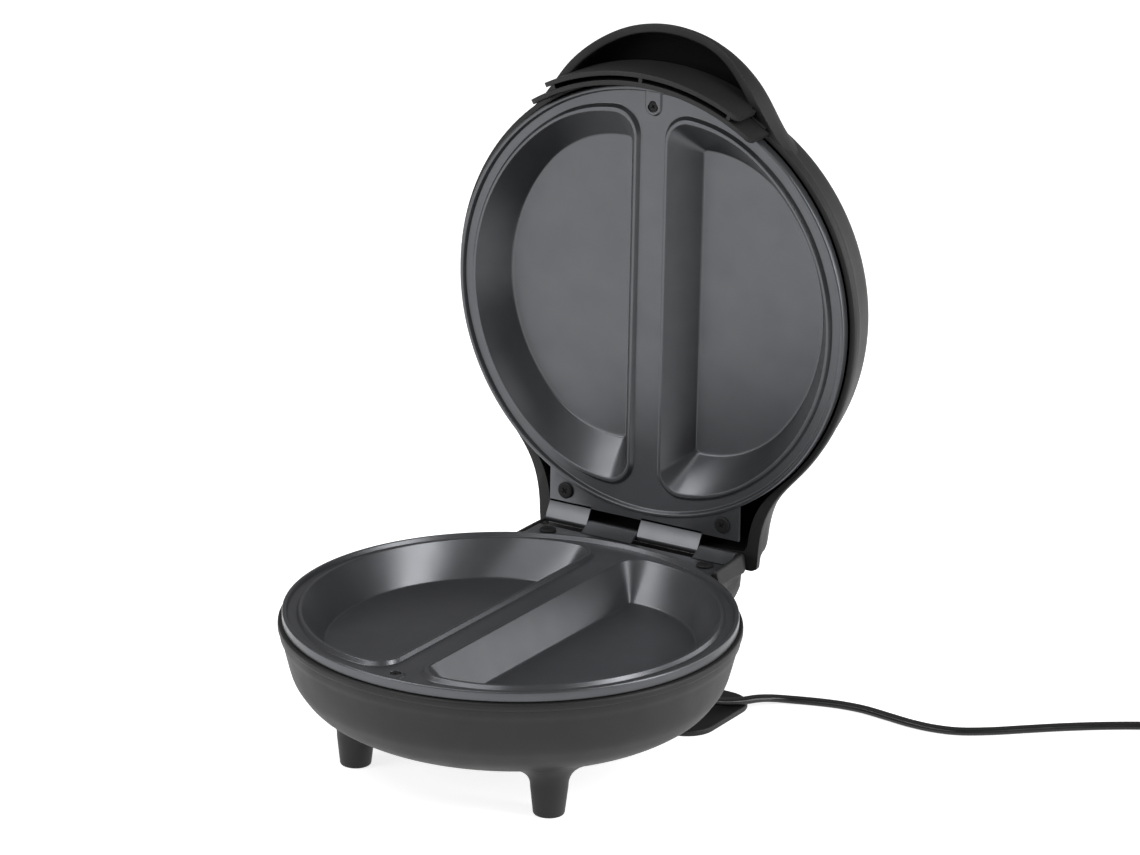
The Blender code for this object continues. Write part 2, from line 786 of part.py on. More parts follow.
def make_plate_screws(prefix, parent, material, lid):
    """Two flat pan heads in the tab and a small screw sunk in the front seat."""
    bm = bmesh.new()
    add_pan_head_screw(bm, REAR_HEAD_RADIUS, REAR_HEAD_HEIGHT, SCREW_LENGTH)
    mesh = finish_mesh(prefix + "_rear_screw", bm)
    for side, word in sides_of(lid):
        spot = (side * REAR_SCREW_X, REAR_SCREW_Y, tab_top() + FIT)
        place(f"{prefix}_screw_{word}", mesh, parent, material, spot)
    bm = bmesh.new()
    add_pan_head_screw(bm, FRONT_HEAD_RADIUS, REAR_HEAD_HEIGHT, SCREW_LENGTH)
    mesh = finish_mesh(prefix + "_screw_front", bm)
    spot = (0.0, FRONT_SCREW_Y, seat_sink() + FIT)
    place(prefix + "_screw_front", mesh, parent, material, spot)


# Moulded shells

def bearings():
    """Bearings round a shell, closer together where the neck leaves the circle."""
    half = [-90.0 + 10.0 * step for step in range(13)]
    half += [37.0, 44.0, 50.0, 55.0, 59.0, 61.2, 63.4, 66.0, 73.0]
    other = [180.0 - bearing for bearing in reversed(half[1:])]
    return half + [90.0] + other


def shell_ring(level, share, shrink, neck, blend):
    """Points round a shell at a level's depth and radius, drawn in by a shrink."""
    neck_half, neck_rear = neck
    half_share, rear_share = along(NECK_SHARES, share)
    half = neck_half * half_share - shrink
    rear = neck_rear * rear_share - shrink
    circle = level[1] - shrink
    points = []
    for bearing in bearings():
        angle = math.radians(bearing)
        cosine, sine = math.cos(angle), math.sin(angle)
        reach = circle
        if sine > 0.0:
            side = half / max(abs(cosine), half / (2 * neck_rear))
            tongue = soft_min(side, rear / sine, NECK_CORNER_BLEND)
            reach = soft_max(circle, tongue, blend)
        points.append(Vector((reach * cosine, reach * sine, -level[0])))
    return points


def rim_radius(lid):
    """Radius of a shell's bead, which is a little larger on the lid."""
    return SHELL_RIM_RADIUS + (LID_RIM_EXTRA if lid else 0.0)


def bowl_depths(lid):
    """Depth and circle radius of each ring of a shell's outside."""
    top = SKIRT_DEPTH + FIT
    rim = rim_radius(lid)
    rings = [
        (top, rim - BEAD_PROUD / 2),
        (top + BEAD_BAND * 0.2, rim),
        (top + BEAD_BAND * 0.75, rim),
        (top + BEAD_BAND, rim - BEAD_PROUD),
    ]
    for share, radius_share in BOWL_SHARES:
        rings.append((SHELL_DEPTH * share, rim * radius_share))
    return rings


def add_bowl(bm, shrink, lid):
    """The outside of a shell, or with a wall's shrink the hollow inside it."""
    rings = []
    blend = LID_NECK_BLEND if lid else BASE_NECK_BLEND
    for depth, radius in bowl_depths(lid):
        neck = (BASE_NECK_HALF, BASE_NECK_REAR)
        if lid:
            below_lip = depth > SKIRT_DEPTH + BEAD_BAND * 1.2
            narrow = LID_NECK_LIP if shrink and not below_lip else 0.0
            step = LID_NECK_STEP if shrink or below_lip else 0.0
            neck = (LID_NECK_HALF - narrow, LID_NECK_REAR - step)
        place_depth = depth
        if shrink and depth > SHELL_DEPTH - shrink:
            place_depth = SHELL_DEPTH - shrink
        share = depth / SHELL_DEPTH
        rings.append(shell_ring((place_depth, radius), share, shrink, neck, blend))
        if place_depth != depth:
            break
    if shrink:
        lift = Vector((0.0, 0.0, OVERRUN))
        rings = [[point + lift for point in rings[0]]] + rings[3:-1:2] + rings[-1:]
    add_loft(bm, rings)


def floor_bosses(lid):
    """Bosses that stand on the inside of a shell: place, radius and depth of the top."""
    places = [(x, y, BOSS_RADIUS, SKIRT_DEPTH - OVERRUN) for x, y, _ in screw_places()]
    for degrees in POST_DEGREES:
        x, y = polar(POST_RING_RADIUS, degrees)
        places.append((x, y, POST_RADIUS, REFLECTOR_DEPTH + REFLECTOR_SHEET + FIT))
    if not lid:
        for side in (1, -1):
            places.append((side * CLAMP_HALF, CLAMP_Y, CLAMP_BOSS_RADIUS, clamp_depth() + FIT))
    return places


def clamp_depth():
    """Depth of the underside of the bar that clamps the inner cord to the floor."""
    return SHELL_DEPTH - SHELL_WALL - 2 * INNER_CORD_RADIUS - 2 * FIT


def make_hollow(name, parent, lid):
    """The hollow of a shell, less the bosses that stand in it."""
    bm = bmesh.new()
    add_bowl(bm, SHELL_WALL, lid)
    hollow = cutter(name + " hollow", finish_mesh(name + " hollow", bm), parent)
    bm = bmesh.new()
    for x, y, radius, top in floor_bosses(lid):
        bottom = -SHELL_DEPTH - OVERRUN
        add_turned(bm, ((radius, bottom), (radius, -top)), 12, (x, y))
    bosses = cutter(name + " bosses", finish_mesh(name + " bosses", bm), parent)
    combine(hollow, "DIFFERENCE", bosses)
    return hollow


def add_pilot_holes(bm):
    """Holes in the three plate bosses for the screws."""
    for x, y, _ in screw_places():
        hole = SCREW_RADIUS + SCREW_CLEARANCE
        top = -SKIRT_DEPTH + OVERRUN
        bottom = top - SCREW_LENGTH - OVERRUN
        add_turned(bm, ((hole, bottom), (hole, top)), 12, (x, y))


def add_clamp_holes(bm):
    """Holes in the two bosses under the cord clamp."""
    hole = CLAMP_SCREW_RADIUS + FIT
    top = -clamp_depth()
    bottom = top + CLAMP_SHEET - CLAMP_SCREW_LENGTH - FIT
    for side in (1, -1):
        add_turned(bm, ((hole, bottom), (hole, top)), 10, (side * CLAMP_HALF, CLAMP_Y))


def floor_z():
    """Height of the table top in the base's own measure from the crest plane."""
    return -CREST_HEIGHT


def add_leg(bm, side):
    """One moulded front leg: a flared top, a slim taper and a rounded foot."""
    foot = floor_z()
    belly = -SHELL_DEPTH
    top = -SHELL_DEPTH + LEG_FLARE_HEIGHT
    profile = (
        (LEG_FOOT_RADIUS - LEG_FOOT_ROUND, foot),
        (LEG_FOOT_RADIUS, foot + LEG_FOOT_ROUND),
        (LEG_WAIST_RADIUS, belly - LEG_FLARE_HEIGHT * 0.35),
        (LEG_WAIST_RADIUS * 1.16, belly - LEG_FLARE_HEIGHT * 0.06),
        (LEG_FLARE_RADIUS * 0.86, belly + LEG_FLARE_HEIGHT * 0.32),
        (LEG_FLARE_RADIUS, top),
    )
    add_turned(bm, profile, LEG_SEGMENTS, (side * LEG_X, LEG_Y))


def add_ear(bm, side):
    """The rounded ear beside the hinge tab, from the plate's skirt to behind the pin."""
    rings = []
    for length, rise, width, root in EAR_SHARES:
        y = EAR_REAR - EAR_LENGTH * (1.0 - length)
        top = EAR_RISE * rise
        outer = max(EAR_WIDTH * width, EAR_ROOT_INSET + EAR_ROOT_WIDTH * width)
        ring = [(EAR_ROOT_INSET, -EAR_ROOT * root), (EAR_ROOT_INSET, -EAR_LOW - FIT)]
        for across, height in EAR_SECTION:
            ring.append((outer * across, -EAR_LOW + (top + EAR_LOW) * height))
        ring.append((outer * 0.86, -EAR_UNDER))
        ring.append((EAR_ROOT_INSET + EAR_ROOT_WIDTH * width, -EAR_UNDER))
        ring.append((EAR_ROOT_INSET + EAR_ROOT_WIDTH * width, -EAR_ROOT * root))
        rings.append([Vector((side * (EAR_INNER + x), y, z)) for x, z in ring])
    add_loft(bm, rings)


def hub_bottom():
    """Height of the hub's lower edge, just above the cord-wrap plate."""
    return floor_z() + WRAP_THICKNESS + FIT


def make_base_shell(parent, material):
    """The lower shell with its legs, its hinge ears and the hub of the cord wrap."""
    bm = bmesh.new()
    add_bowl(bm, 0.0, False)
    shell = place("base_shell", finish_mesh("base_shell", bm), parent, material)

    bm = bmesh.new()
    for side in (1, -1):
        add_leg(bm, side)
    hub = rounded_rectangle(HUB_HALF, HUB_FRONT, HUB_REAR, HUB_CORNER, 3)
    add_prism(bm, hub, hub_bottom(), floor_z() + HUB_TOP)
    combine(shell, "UNION", cutter("shell feet", finish_mesh("shell feet", bm), parent))
    combine(shell, "DIFFERENCE", make_hollow("base_shell", parent, False))

    bm = bmesh.new()
    for side in (1, -1):
        add_ear(bm, side)
    combine(shell, "UNION", cutter("shell ears", finish_mesh("shell ears", bm), parent))

    bm = bmesh.new()
    wall = SHELL_WALL
    inside = rounded_rectangle(
        HUB_HALF - wall, HUB_FRONT + wall, HUB_REAR - wall, HUB_CORNER - wall, 3
    )
    room_top = floor_z() + HUB_TOP - 2 * wall
    add_prism(bm, inside, hub_bottom() - OVERRUN, room_top)
    room = cutter("hub room", finish_mesh("hub room", bm), parent)
    bm = bmesh.new()
    for side in (1, -1):
        add_turned(
            bm,
            ((WRAP_BOSS_RADIUS, hub_bottom()), (WRAP_BOSS_RADIUS, room_top + OVERRUN)),
            14,
            (side * WRAP_SCREW_X, WRAP_SCREW_Y),
        )
    combine(room, "DIFFERENCE", cutter("hub bosses", finish_mesh("hub bosses", bm), parent))
    combine(shell, "DIFFERENCE", room)

    bm = bmesh.new()
    add_pilot_holes(bm)
    add_clamp_holes(bm)
    for side in (1, -1):
        hole = SCREW_RADIUS + SCREW_CLEARANCE
        top = hub_bottom() + WRAP_SCREW_LENGTH
        add_turned(
            bm,
            ((hole, hub_bottom() - OVERRUN), (hole, top)),
            12,
            (side * WRAP_SCREW_X, WRAP_SCREW_Y),
        )
    holes = cutter("shell holes", finish_mesh("shell holes", bm), parent)
    combine(shell, "DIFFERENCE", holes)

    bm = bmesh.new()
    cord_hole = BUSHING_ROOT_RADIUS + FIT
    side_on = Matrix.Rotation(math.radians(90.0), 4, "Y")
    add_turned(bm, ((cord_hole, 0.0), (cord_hole, 2 * OVERRUN + wall)), BUSHING_SEGMENTS)
    spot = Vector((HUB_HALF - wall - OVERRUN, BUSHING_Y, floor_z() + BUSHING_HEIGHT))
    bmesh.ops.transform(bm, matrix=Matrix.Translation(spot) @ side_on, verts=bm.verts)
    hole = cutter("cord hole", finish_mesh("cord hole", bm), parent)
    combine(shell, "DIFFERENCE", hole)
    return shell


def hood_ring(depth, shrink):
    """Points round the hood at one depth, which draws in towards the dome's top."""
    share = (depth - HOOD_LIP_DEPTH) / (HOOD_TOP_DEPTH - HOOD_LIP_DEPTH)
    radius = HOOD_RADIUS - shrink - HOOD_DRAW * max(share, 0.0) ** 2
    if shrink:
        return circle_points(radius, -depth, HOOD_SEGMENTS, (0.0, HOOD_CENTRE_Y))
    shell = bowl_radius(depth) - HOOD_SINK
    points = []
    for step in range(HOOD_SEGMENTS):
        across, out = polar(1.0, 360.0 * step / HOOD_SEGMENTS)
        room = shell ** 2 - (HOOD_CENTRE_Y * across) ** 2
        side = math.sqrt(room) - HOOD_CENTRE_Y * out
        reach = soft_max(radius, min(side, radius + HOOD_BLEND), HOOD_BLEND)
        points.append(Vector((across * reach, HOOD_CENTRE_Y + out * reach, -depth)))
    return points


def bowl_radius(depth):
    """Radius of the lid's bowl at a depth."""
    table = [(0.0, rim_radius(True))] + bowl_depths(True)
    return along(table, depth)[0]


def make_lid_shell(parent, material):
    """The upper shell with the hood that shades the fingers, and its lens holes."""
    bm = bmesh.new()
    add_bowl(bm, 0.0, True)
    shell = place("lid_shell", finish_mesh("lid_shell", bm), parent, material)

    bm = bmesh.new()
    span = HOOD_TOP_DEPTH - HOOD_LIP_DEPTH
    steps = 7
    rings = [hood_ring(HOOD_LIP_DEPTH + span * step / steps, 0.0) for step in range(steps + 1)]
    add_loft(bm, rings)
    hood = cutter("hood block", finish_mesh("hood block", bm), parent)
    bm = bmesh.new()
    span = HOOD_VOID_TOP - HOOD_LIP_DEPTH
    steps = 4
    rings = [hood_ring(HOOD_LIP_DEPTH + span * step / steps, HOOD_WALL) for step in range(steps + 1)]
    rings.insert(0, [point + Vector((0.0, 0.0, OVERRUN)) for point in rings[0]])
    add_loft(bm, rings)
    void = cutter("hood void", finish_mesh("hood void", bm), parent)
    bm = bmesh.new()
    middle = (APRON_INNER_RADIUS + APRON_OUTER_RADIUS) / 2
    for side in (1, -1):
        spot = polar(middle, -90.0 + side * PEG_DEGREES)
        profile = (
            (PEG_POST_RADIUS, -HOOD_VOID_TOP - OVERRUN),
            (PEG_POST_RADIUS, -HOOD_LIP_DEPTH + 2 * OVERRUN),
        )
        add_turned(bm, profile, 12, spot)
    combine(void, "DIFFERENCE", cutter("hood posts", finish_mesh("hood posts", bm), parent))
    combine(hood, "DIFFERENCE", void)
    combine(shell, "UNION", hood)
    combine(shell, "DIFFERENCE", make_hollow("lid_shell", parent, True))

    bm = bmesh.new()
    add_pilot_holes(bm)
    for side in (1, -1):
        hole = LENS_RADIUS + FIT
        bottom = -SHELL_DEPTH - OVERRUN
        top = -SHELL_DEPTH + SHELL_WALL + OVERRUN
        add_turned(bm, ((hole, bottom), (hole, top)), 16, (side * LENS_X, LENS_Y))
        spot = polar(middle, -90.0 + side * PEG_DEGREES)
        hole = PEG_RADIUS + FIT
        bottom = -HOOD_LIP_DEPTH - PEG_LENGTH
        add_turned(bm, ((hole, bottom), (hole, -HOOD_LIP_DEPTH + OVERRUN)), 10, spot)
    holes = cutter("lid holes", finish_mesh("lid holes", bm), parent)
    combine(shell, "DIFFERENCE", holes)
    return shell


def arc_band(inner, outer, half_degrees, segments):
    """The outline of an arc-shaped strip centred on the front."""
    outline = []
    for step in range(segments + 1):
        bearing = -90.0 - half_degrees + 2 * half_degrees * step / segments
        outline.append(polar(outer, bearing))
    for step in range(segments, -1, -1):
        bearing = -90.0 - half_degrees + 2 * half_degrees * step / segments
        outline.append(polar(inner, bearing))
    return outline


def make_apron(parent, material):
    """The strip that covers the front rims when the lid is shut: two walls and ribs."""
    bm = bmesh.new()
    low = -HOOD_LIP_DEPTH + FIT
    inner_wall = arc_band(
        APRON_INNER_RADIUS, APRON_INNER_RADIUS + APRON_WALL, APRON_INNER_DEGREES, APRON_SEGMENTS
    )
    add_prism(bm, inner_wall, low, APRON_REACH)
    apron = place("grip_apron", finish_mesh("grip_apron", bm), parent, material)
    bm = bmesh.new()
    outer_wall = arc_band(
        APRON_OUTER_RADIUS - APRON_WALL, APRON_OUTER_RADIUS, APRON_OUTER_DEGREES, APRON_SEGMENTS
    )
    add_prism(bm, outer_wall, low, APRON_REACH)
    combine(apron, "UNION", cutter("apron wall", finish_mesh("apron wall", bm), parent))
    bm = bmesh.new()
    root = arc_band(
        APRON_INNER_RADIUS + APRON_WALL / 2,
        APRON_OUTER_RADIUS - APRON_WALL / 2,
        APRON_OUTER_DEGREES - APRON_ROOT_INSET_DEGREES,
        APRON_SEGMENTS,
    )
    add_prism(bm, root, low + FIT, -APRON_ROOT_TOP)
    combine(apron, "UNION", cutter("apron root", finish_mesh("apron root", bm), parent))
    bm = bmesh.new()
    rib_outer = APRON_OUTER_RADIUS - APRON_WALL / 2
    rib_inner = APRON_INNER_RADIUS + APRON_WALL / 2
    half = math.degrees(APRON_RIB / 2 / APRON_OUTER_RADIUS)
    for degrees in APRON_RIB_DEGREES:
        corners = ((rib_outer, -half), (rib_outer, half), (rib_inner, half), (rib_inner, -half))
        outline = [polar(radius, -90.0 + degrees + turn) for radius, turn in corners]
        add_prism(bm, outline, -APRON_ROOT_TOP - OVERRUN, APRON_REACH - APRON_RIB_DROP)
    middle = (APRON_INNER_RADIUS + APRON_OUTER_RADIUS) / 2
    for side in (1, -1):
        profile = (
            (PEG_RADIUS * 0.6, low - PEG_LENGTH), (PEG_RADIUS, low - PEG_LENGTH + PEG_RADIUS),
            (PEG_RADIUS, low + 2 * OVERRUN),
        )
        add_turned(bm, profile, 10, polar(middle, -90.0 + side * PEG_DEGREES))
    combine(apron, "UNION", cutter("apron ribs", finish_mesh("apron ribs", bm), parent))
    return apron


# Cord wrap

def make_wrap_plate(parent, material):
    """The flat plate under the hub, which keeps wound cord in place and is the rear foot."""
    outline = rounded_rectangle(WRAP_HALF, WRAP_FRONT, WRAP_REAR, WRAP_CORNER)
    inner = rounded_rectangle(
        WRAP_HALF - WRAP_EDGE, WRAP_FRONT + WRAP_EDGE, WRAP_REAR - WRAP_EDGE,
        WRAP_CORNER - WRAP_EDGE,
    )
    bottom = floor_z()
    rings = []
    levels = (
        (inner, bottom), (outline, bottom + WRAP_EDGE),
        (outline, bottom + WRAP_THICKNESS - WRAP_EDGE), (inner, bottom + WRAP_THICKNESS),
    )
    for points, height in levels:
        rings.append([Vector((x, y, height)) for x, y in points])
    bm = bmesh.new()
    add_loft(bm, rings)
    plate = place("cord_wrap_plate", finish_mesh("cord_wrap_plate", bm), parent, material)
    bm = bmesh.new()
    sink = bottom + WRAP_SCREW_HEAD_HEIGHT + FIT
    head = WRAP_SCREW_HEAD + FIT
    hole = SCREW_RADIUS + SCREW_CLEARANCE
    for side in (1, -1):
        profile = (
            (head, bottom - OVERRUN), (head, sink),
            (hole, sink), (hole, bottom + WRAP_THICKNESS + OVERRUN),
        )
        add_turned(bm, profile, 14, (side * WRAP_SCREW_X, WRAP_SCREW_Y))
    combine(plate, "DIFFERENCE", cutter("wrap holes", finish_mesh("wrap holes", bm), parent))
    return plate


def make_wrap_screws(parent, material):
    """Two screws from below, sunk in the cord-wrap plate."""
    bm = bmesh.new()
    height = WRAP_SCREW_HEAD_HEIGHT - FIT
    add_turned(bm, (
        (WRAP_SCREW_HEAD, FIT), (WRAP_SCREW_HEAD, FIT + height),
        (SCREW_RADIUS, FIT + height), (SCREW_RADIUS, FIT + WRAP_SCREW_LENGTH),
    ), SCREW_SEGMENTS)
    mesh = finish_mesh("cord_wrap_screw", bm)
    for side, word in sides_of(False):
        spot = (side * WRAP_SCREW_X, WRAP_SCREW_Y, floor_z())
        place("cord_wrap_screw_" + word, mesh, parent, material, spot)


# Hinge pin

def make_pin(parent, material, cap_material):
    """The pin through all the knuckles, and a push-on cap at each end."""
    flat = Matrix.Rotation(math.radians(90.0), 4, "Y")
    height = CLOSED_GAP / 2
    radius = KNUCKLE_RADIUS - TAB_SHEET - PIN_CLEARANCE
    bm = bmesh.new()
    add_turned(bm, ((radius, -TAB_HALF), (radius, TAB_HALF)), 16)
    shift = Matrix.Translation((0.0, PIVOT_Y, height))
    bmesh.ops.transform(bm, matrix=shift @ flat, verts=bm.verts)
    place("hinge_pin", finish_mesh("hinge_pin", bm), parent, material)
    for side, word in sides_of(False):
        bm = bmesh.new()
        near = side * (TAB_HALF + FIT)
        far = near + side * PIN_CAP_THICKNESS
        add_turned(bm, ((PIN_CAP_RADIUS, near), (PIN_CAP_RADIUS * 0.85, far)), 16)
        bmesh.ops.transform(bm, matrix=shift @ flat, verts=bm.verts)
        name = "hinge_pin_cap_" + word
        place(name, finish_mesh(name, bm), parent, cap_material)


# Heating

def under_floor():
    """Depth of the outside of the pocket floors."""
    return POCKET_DEPTH + PLATE_SHEET


def element_depth():
    """Depth of the heating tube's centre line."""
    return under_floor() + FIT + ELEMENT_TUBE_RADIUS


def element_path():
    """A ring open at the rear, whose ends bend out beside each other."""
    gap = ELEMENT_GAP_DEGREES
    sweep = 360.0 - 2 * gap
    depth = -element_depth()
    ring = []
    for step in range(ELEMENT_STEPS + 1):
        x, y = polar(ELEMENT_RING_RADIUS, 90.0 + gap + sweep * step / ELEMENT_STEPS)
        ring.append(Vector((x, y, depth)))
    bearing = 90.0 - gap
    centre = Vector((*polar(ELEMENT_RING_RADIUS + ELEMENT_BEND, bearing), depth))
    bend = []
    for step in range(1, ELEMENT_BEND_STEPS + 1):
        turn = bearing + 180.0 - bearing * step / ELEMENT_BEND_STEPS
        bend.append(centre + Vector((*polar(ELEMENT_BEND, turn), 0.0)))
    bend.append(bend[-1] + Vector((0.0, ELEMENT_TAIL, 0.0)))
    mirrored = [Vector((-point.x, point.y, point.z)) for point in reversed(bend)]
    return mirrored + ring + bend


def make_element(prefix, parent, material, stud_material, lid):
    """The tubular heater, and the two steel studs at its ends."""
    path = element_path()
    make_tube(prefix + "_element", [path], ELEMENT_TUBE_RADIUS, parent, material, 1)
    bm = bmesh.new()
    reach = FIT + TERMINAL_STUD_LENGTH
    add_turned(bm, ((TERMINAL_STUD_RADIUS, FIT), (TERMINAL_STUD_RADIUS, reach)), 10)
    turn = Matrix.Rotation(math.radians(-90.0), 4, "X")
    bmesh.ops.transform(bm, matrix=turn, verts=bm.verts)
    mesh = finish_mesh(prefix + "_stud", bm)
    for (_, word), end in zip(sides_of(lid), (path[-1], path[0])):
        place(f"{prefix}_stud_{word}", mesh, parent, stud_material, end)


def clip_outline():
    """A bridge clip over the heating tube, seen along the tube: X across, Y down."""
    room = ELEMENT_TUBE_RADIUS + FIT
    outer = room + CLIP_SHEET
    foot = outer + CLIP_FOOT
    steps = 6
    arch_out = [polar(outer, 180.0 * step / steps) for step in range(steps + 1)]
    arch_in = [polar(room, 180.0 * step / steps) for step in range(steps + 1)]
    low = -ELEMENT_TUBE_RADIUS
    return (
        [(foot, low), (foot, low + CLIP_SHEET), (outer, low + CLIP_SHEET)]
        + arch_out
        + [(-outer, low + CLIP_SHEET), (-foot, low + CLIP_SHEET), (-foot, low), (-room, low)]
        + arch_in[::-1]
        + [(room, low)]
    )


def clip_spots():
    """The middle of the heating tube's outermost straight step on each side."""
    path = element_path()
    spots = []
    for side in (1, -1):
        start, end = max(zip(path, path[1:]), key=lambda pair: side * (pair[0] + pair[1]).x)
        spots.append((start + end) / 2)
    return spots


def make_clips(prefix, parent, material, lid):
    """A bridge clip over each side of the heating tube, against the pocket floors."""
    bm = bmesh.new()
    add_prism(bm, clip_outline(), -CLIP_WIDTH / 2, CLIP_WIDTH / 2)
    lay = Matrix.Rotation(math.radians(-90.0), 4, "X")
    bmesh.ops.transform(bm, matrix=lay, verts=bm.verts)
    mesh = finish_mesh(prefix + "_clip", bm)
    for (_, word), spot in zip(sides_of(lid), clip_spots()):
        clip = place(f"{prefix}_clip_{word}", mesh, parent, material, spot)
        clip.rotation_euler.z = math.atan2(spot.y, spot.x)


def make_reflector(name, parent, material):
    """A thin dished ring behind the heater, resting on the shell's posts."""
    top = -REFLECTOR_DEPTH
    low = top - REFLECTOR_SHEET
    profile = (
        (REFLECTOR_HOLE_RADIUS, top),
        (REFLECTOR_FLAT_RADIUS, top),
        (REFLECTOR_RIM_RADIUS - REFLECTOR_SHEET, top + REFLECTOR_RIM_RISE),
        (REFLECTOR_RIM_RADIUS, top + REFLECTOR_RIM_RISE),
        (REFLECTOR_FLAT_RADIUS + REFLECTOR_SHEET, low),
        (REFLECTOR_HOLE_RADIUS, low),
    )
    bm = bmesh.new()
    add_turned_ring(bm, profile, REFLECTOR_SEGMENTS)
    return place(name, finish_mesh(name, bm), parent, material)


def make_thermostat(name, parent, material):
    """A bimetal disc thermostat against the outside of one pocket floor."""
    top = -under_floor() - FIT
    flange = THERMOSTAT_RADIUS + THERMOSTAT_FLANGE
    profile = (
        (flange, top), (flange, top - THERMOSTAT_FLANGE_HEIGHT),
        (THERMOSTAT_RADIUS, top - THERMOSTAT_FLANGE_HEIGHT),
        (THERMOSTAT_RADIUS, top - THERMOSTAT_HEIGHT),
    )
    bm = bmesh.new()
    add_turned(bm, profile, 20, (CONTROL_X, 0.0))
    return place(name, finish_mesh(name, bm), parent, material)


def make_fuse(name, parent, material):
    """A thermal fuse in its sleeve, along the outside of the other pocket floor."""
    depth = under_floor() + FIT + FUSE_RADIUS
    lay = Matrix.Rotation(math.radians(90.0), 4, "X")
    bm = bmesh.new()
    half = FUSE_LENGTH / 2
    profile = (
        (FUSE_RADIUS * 0.7, -half), (FUSE_RADIUS, -half * 0.85),
        (FUSE_RADIUS, half * 0.85), (FUSE_RADIUS * 0.7, half),
    )
    add_turned(bm, profile, 14)
    shift = Matrix.Translation((-CONTROL_X, 0.0, -depth))
    bmesh.ops.transform(bm, matrix=shift @ lay, verts=bm.verts)
    return place(name, finish_mesh(name, bm), parent, material)


def make_block(parent, material, screw_material):
    """The terminal block on the floor of the base shell, and its screws."""
    bottom = -SHELL_DEPTH + SHELL_WALL + FIT
    top = bottom + BLOCK_HEIGHT
    outline = rounded_rectangle(
        BLOCK_LENGTH / 2, BLOCK_Y - BLOCK_WIDTH / 2, BLOCK_Y + BLOCK_WIDTH / 2, BLOCK_SCREW_SINK, 2
    )
    bm = bmesh.new()
    add_prism(bm, outline, bottom, top)
    block = place("terminal_block", finish_mesh("terminal_block", bm), parent, material)
    bm = bmesh.new()
    add_turned(bm, (
        (BLOCK_SCREW_RADIUS, 0.0), (BLOCK_SCREW_RADIUS, BLOCK_SCREW_SINK * 0.7),
        (BLOCK_SCREW_RADIUS * 0.8, BLOCK_SCREW_SINK),
    ), SCREW_SEGMENTS)
    screw = finish_mesh("terminal_screw", bm)
    wells = bmesh.new()
    sink = top - 2 * BLOCK_SCREW_SINK
    room = BLOCK_SCREW_RADIUS + FIT
    for way in range(BLOCK_WAYS):
        x = BLOCK_LENGTH * ((way + 0.5) / BLOCK_WAYS - 0.5)
        add_turned(wells, ((room, sink), (room, top + OVERRUN)), 12, (x, BLOCK_Y))
        name = f"terminal_screw_{way + 1}"
        place(name, screw, parent, screw_material, (x, BLOCK_Y, sink + FIT))
    well_tool = cutter("block wells", finish_mesh("block wells", wells), parent)
    combine(block, "DIFFERENCE", well_tool)


def make_lamps(parent, red, green, glass, holder_material):
    """Two lenses in the top of the lid, the lamps behind them and their holder."""
    outside = -SHELL_DEPTH
    inside = outside + SHELL_WALL
    for name, side, material in (("lens_red", 1, red), ("lens_green", -1, green)):
        bm = bmesh.new()
        profile = (
            (LENS_RADIUS * 0.55, outside - LENS_PROUD),
            (LENS_RADIUS * 0.9, outside - LENS_PROUD * 0.6),
            (LENS_RADIUS, outside),
            (LENS_RADIUS, inside + FIT),
            (LENS_FLANGE_RADIUS, inside + FIT),
            (LENS_FLANGE_RADIUS, inside + FIT + LENS_FLANGE),
        )
        add_turned(bm, profile, 12, (side * LENS_X, LENS_Y))
        place(name, finish_mesh(name, bm), parent, material)
    low = inside + 2 * FIT + LENS_FLANGE
    seat = low + LAMP_LENGTH / 2
    bm = bmesh.new()
    add_turned(bm, (
        (LAMP_RADIUS * 0.5, 0.0), (LAMP_RADIUS, LAMP_RADIUS * 0.6), (LAMP_RADIUS, LAMP_LENGTH),
    ), 12)
    lamp = finish_mesh("indicator_lamp", bm)
    sockets = bmesh.new()
    room = LAMP_RADIUS + FIT
    span = (seat - OVERRUN, seat + LAMP_HOLDER_THICKNESS + OVERRUN)
    for side, word in sides_of(True):
        add_turned(sockets, ((room, span[0]), (room, span[1])), 12, (side * LENS_X, LENS_Y))
        place("indicator_lamp_" + word, lamp, parent, glass, (side * LENS_X, LENS_Y, low))
    bm = bmesh.new()
    outline = rounded_rectangle(
        LAMP_HOLDER_HALF_X, LENS_Y - LAMP_HOLDER_HALF_Y, LENS_Y + LAMP_HOLDER_HALF_Y, LENS_RADIUS / 2, 3
    )
    add_prism(bm, outline, seat, seat + LAMP_HOLDER_THICKNESS)
    legs = (LAMP_HOLDER_HALF_X - LENS_RADIUS / 2, LAMP_HOLDER_THICKNESS)
    holder = place("lamp_holder", finish_mesh("lamp_holder", bm), parent, holder_material)
    bm = bmesh.new()
    for side in (1, -1):
        profile = ((legs[1], inside + FIT), (legs[1], seat + legs[1] / 2))
        add_turned(bm, profile, 10, (side * legs[0], LENS_Y))
    combine(holder, "UNION", cutter("holder legs", finish_mesh("holder legs", bm), parent))
    socket_tool = cutter("lamp sockets", finish_mesh("lamp sockets", sockets), parent)
    combine(holder, "DIFFERENCE", socket_tool)


# Cord

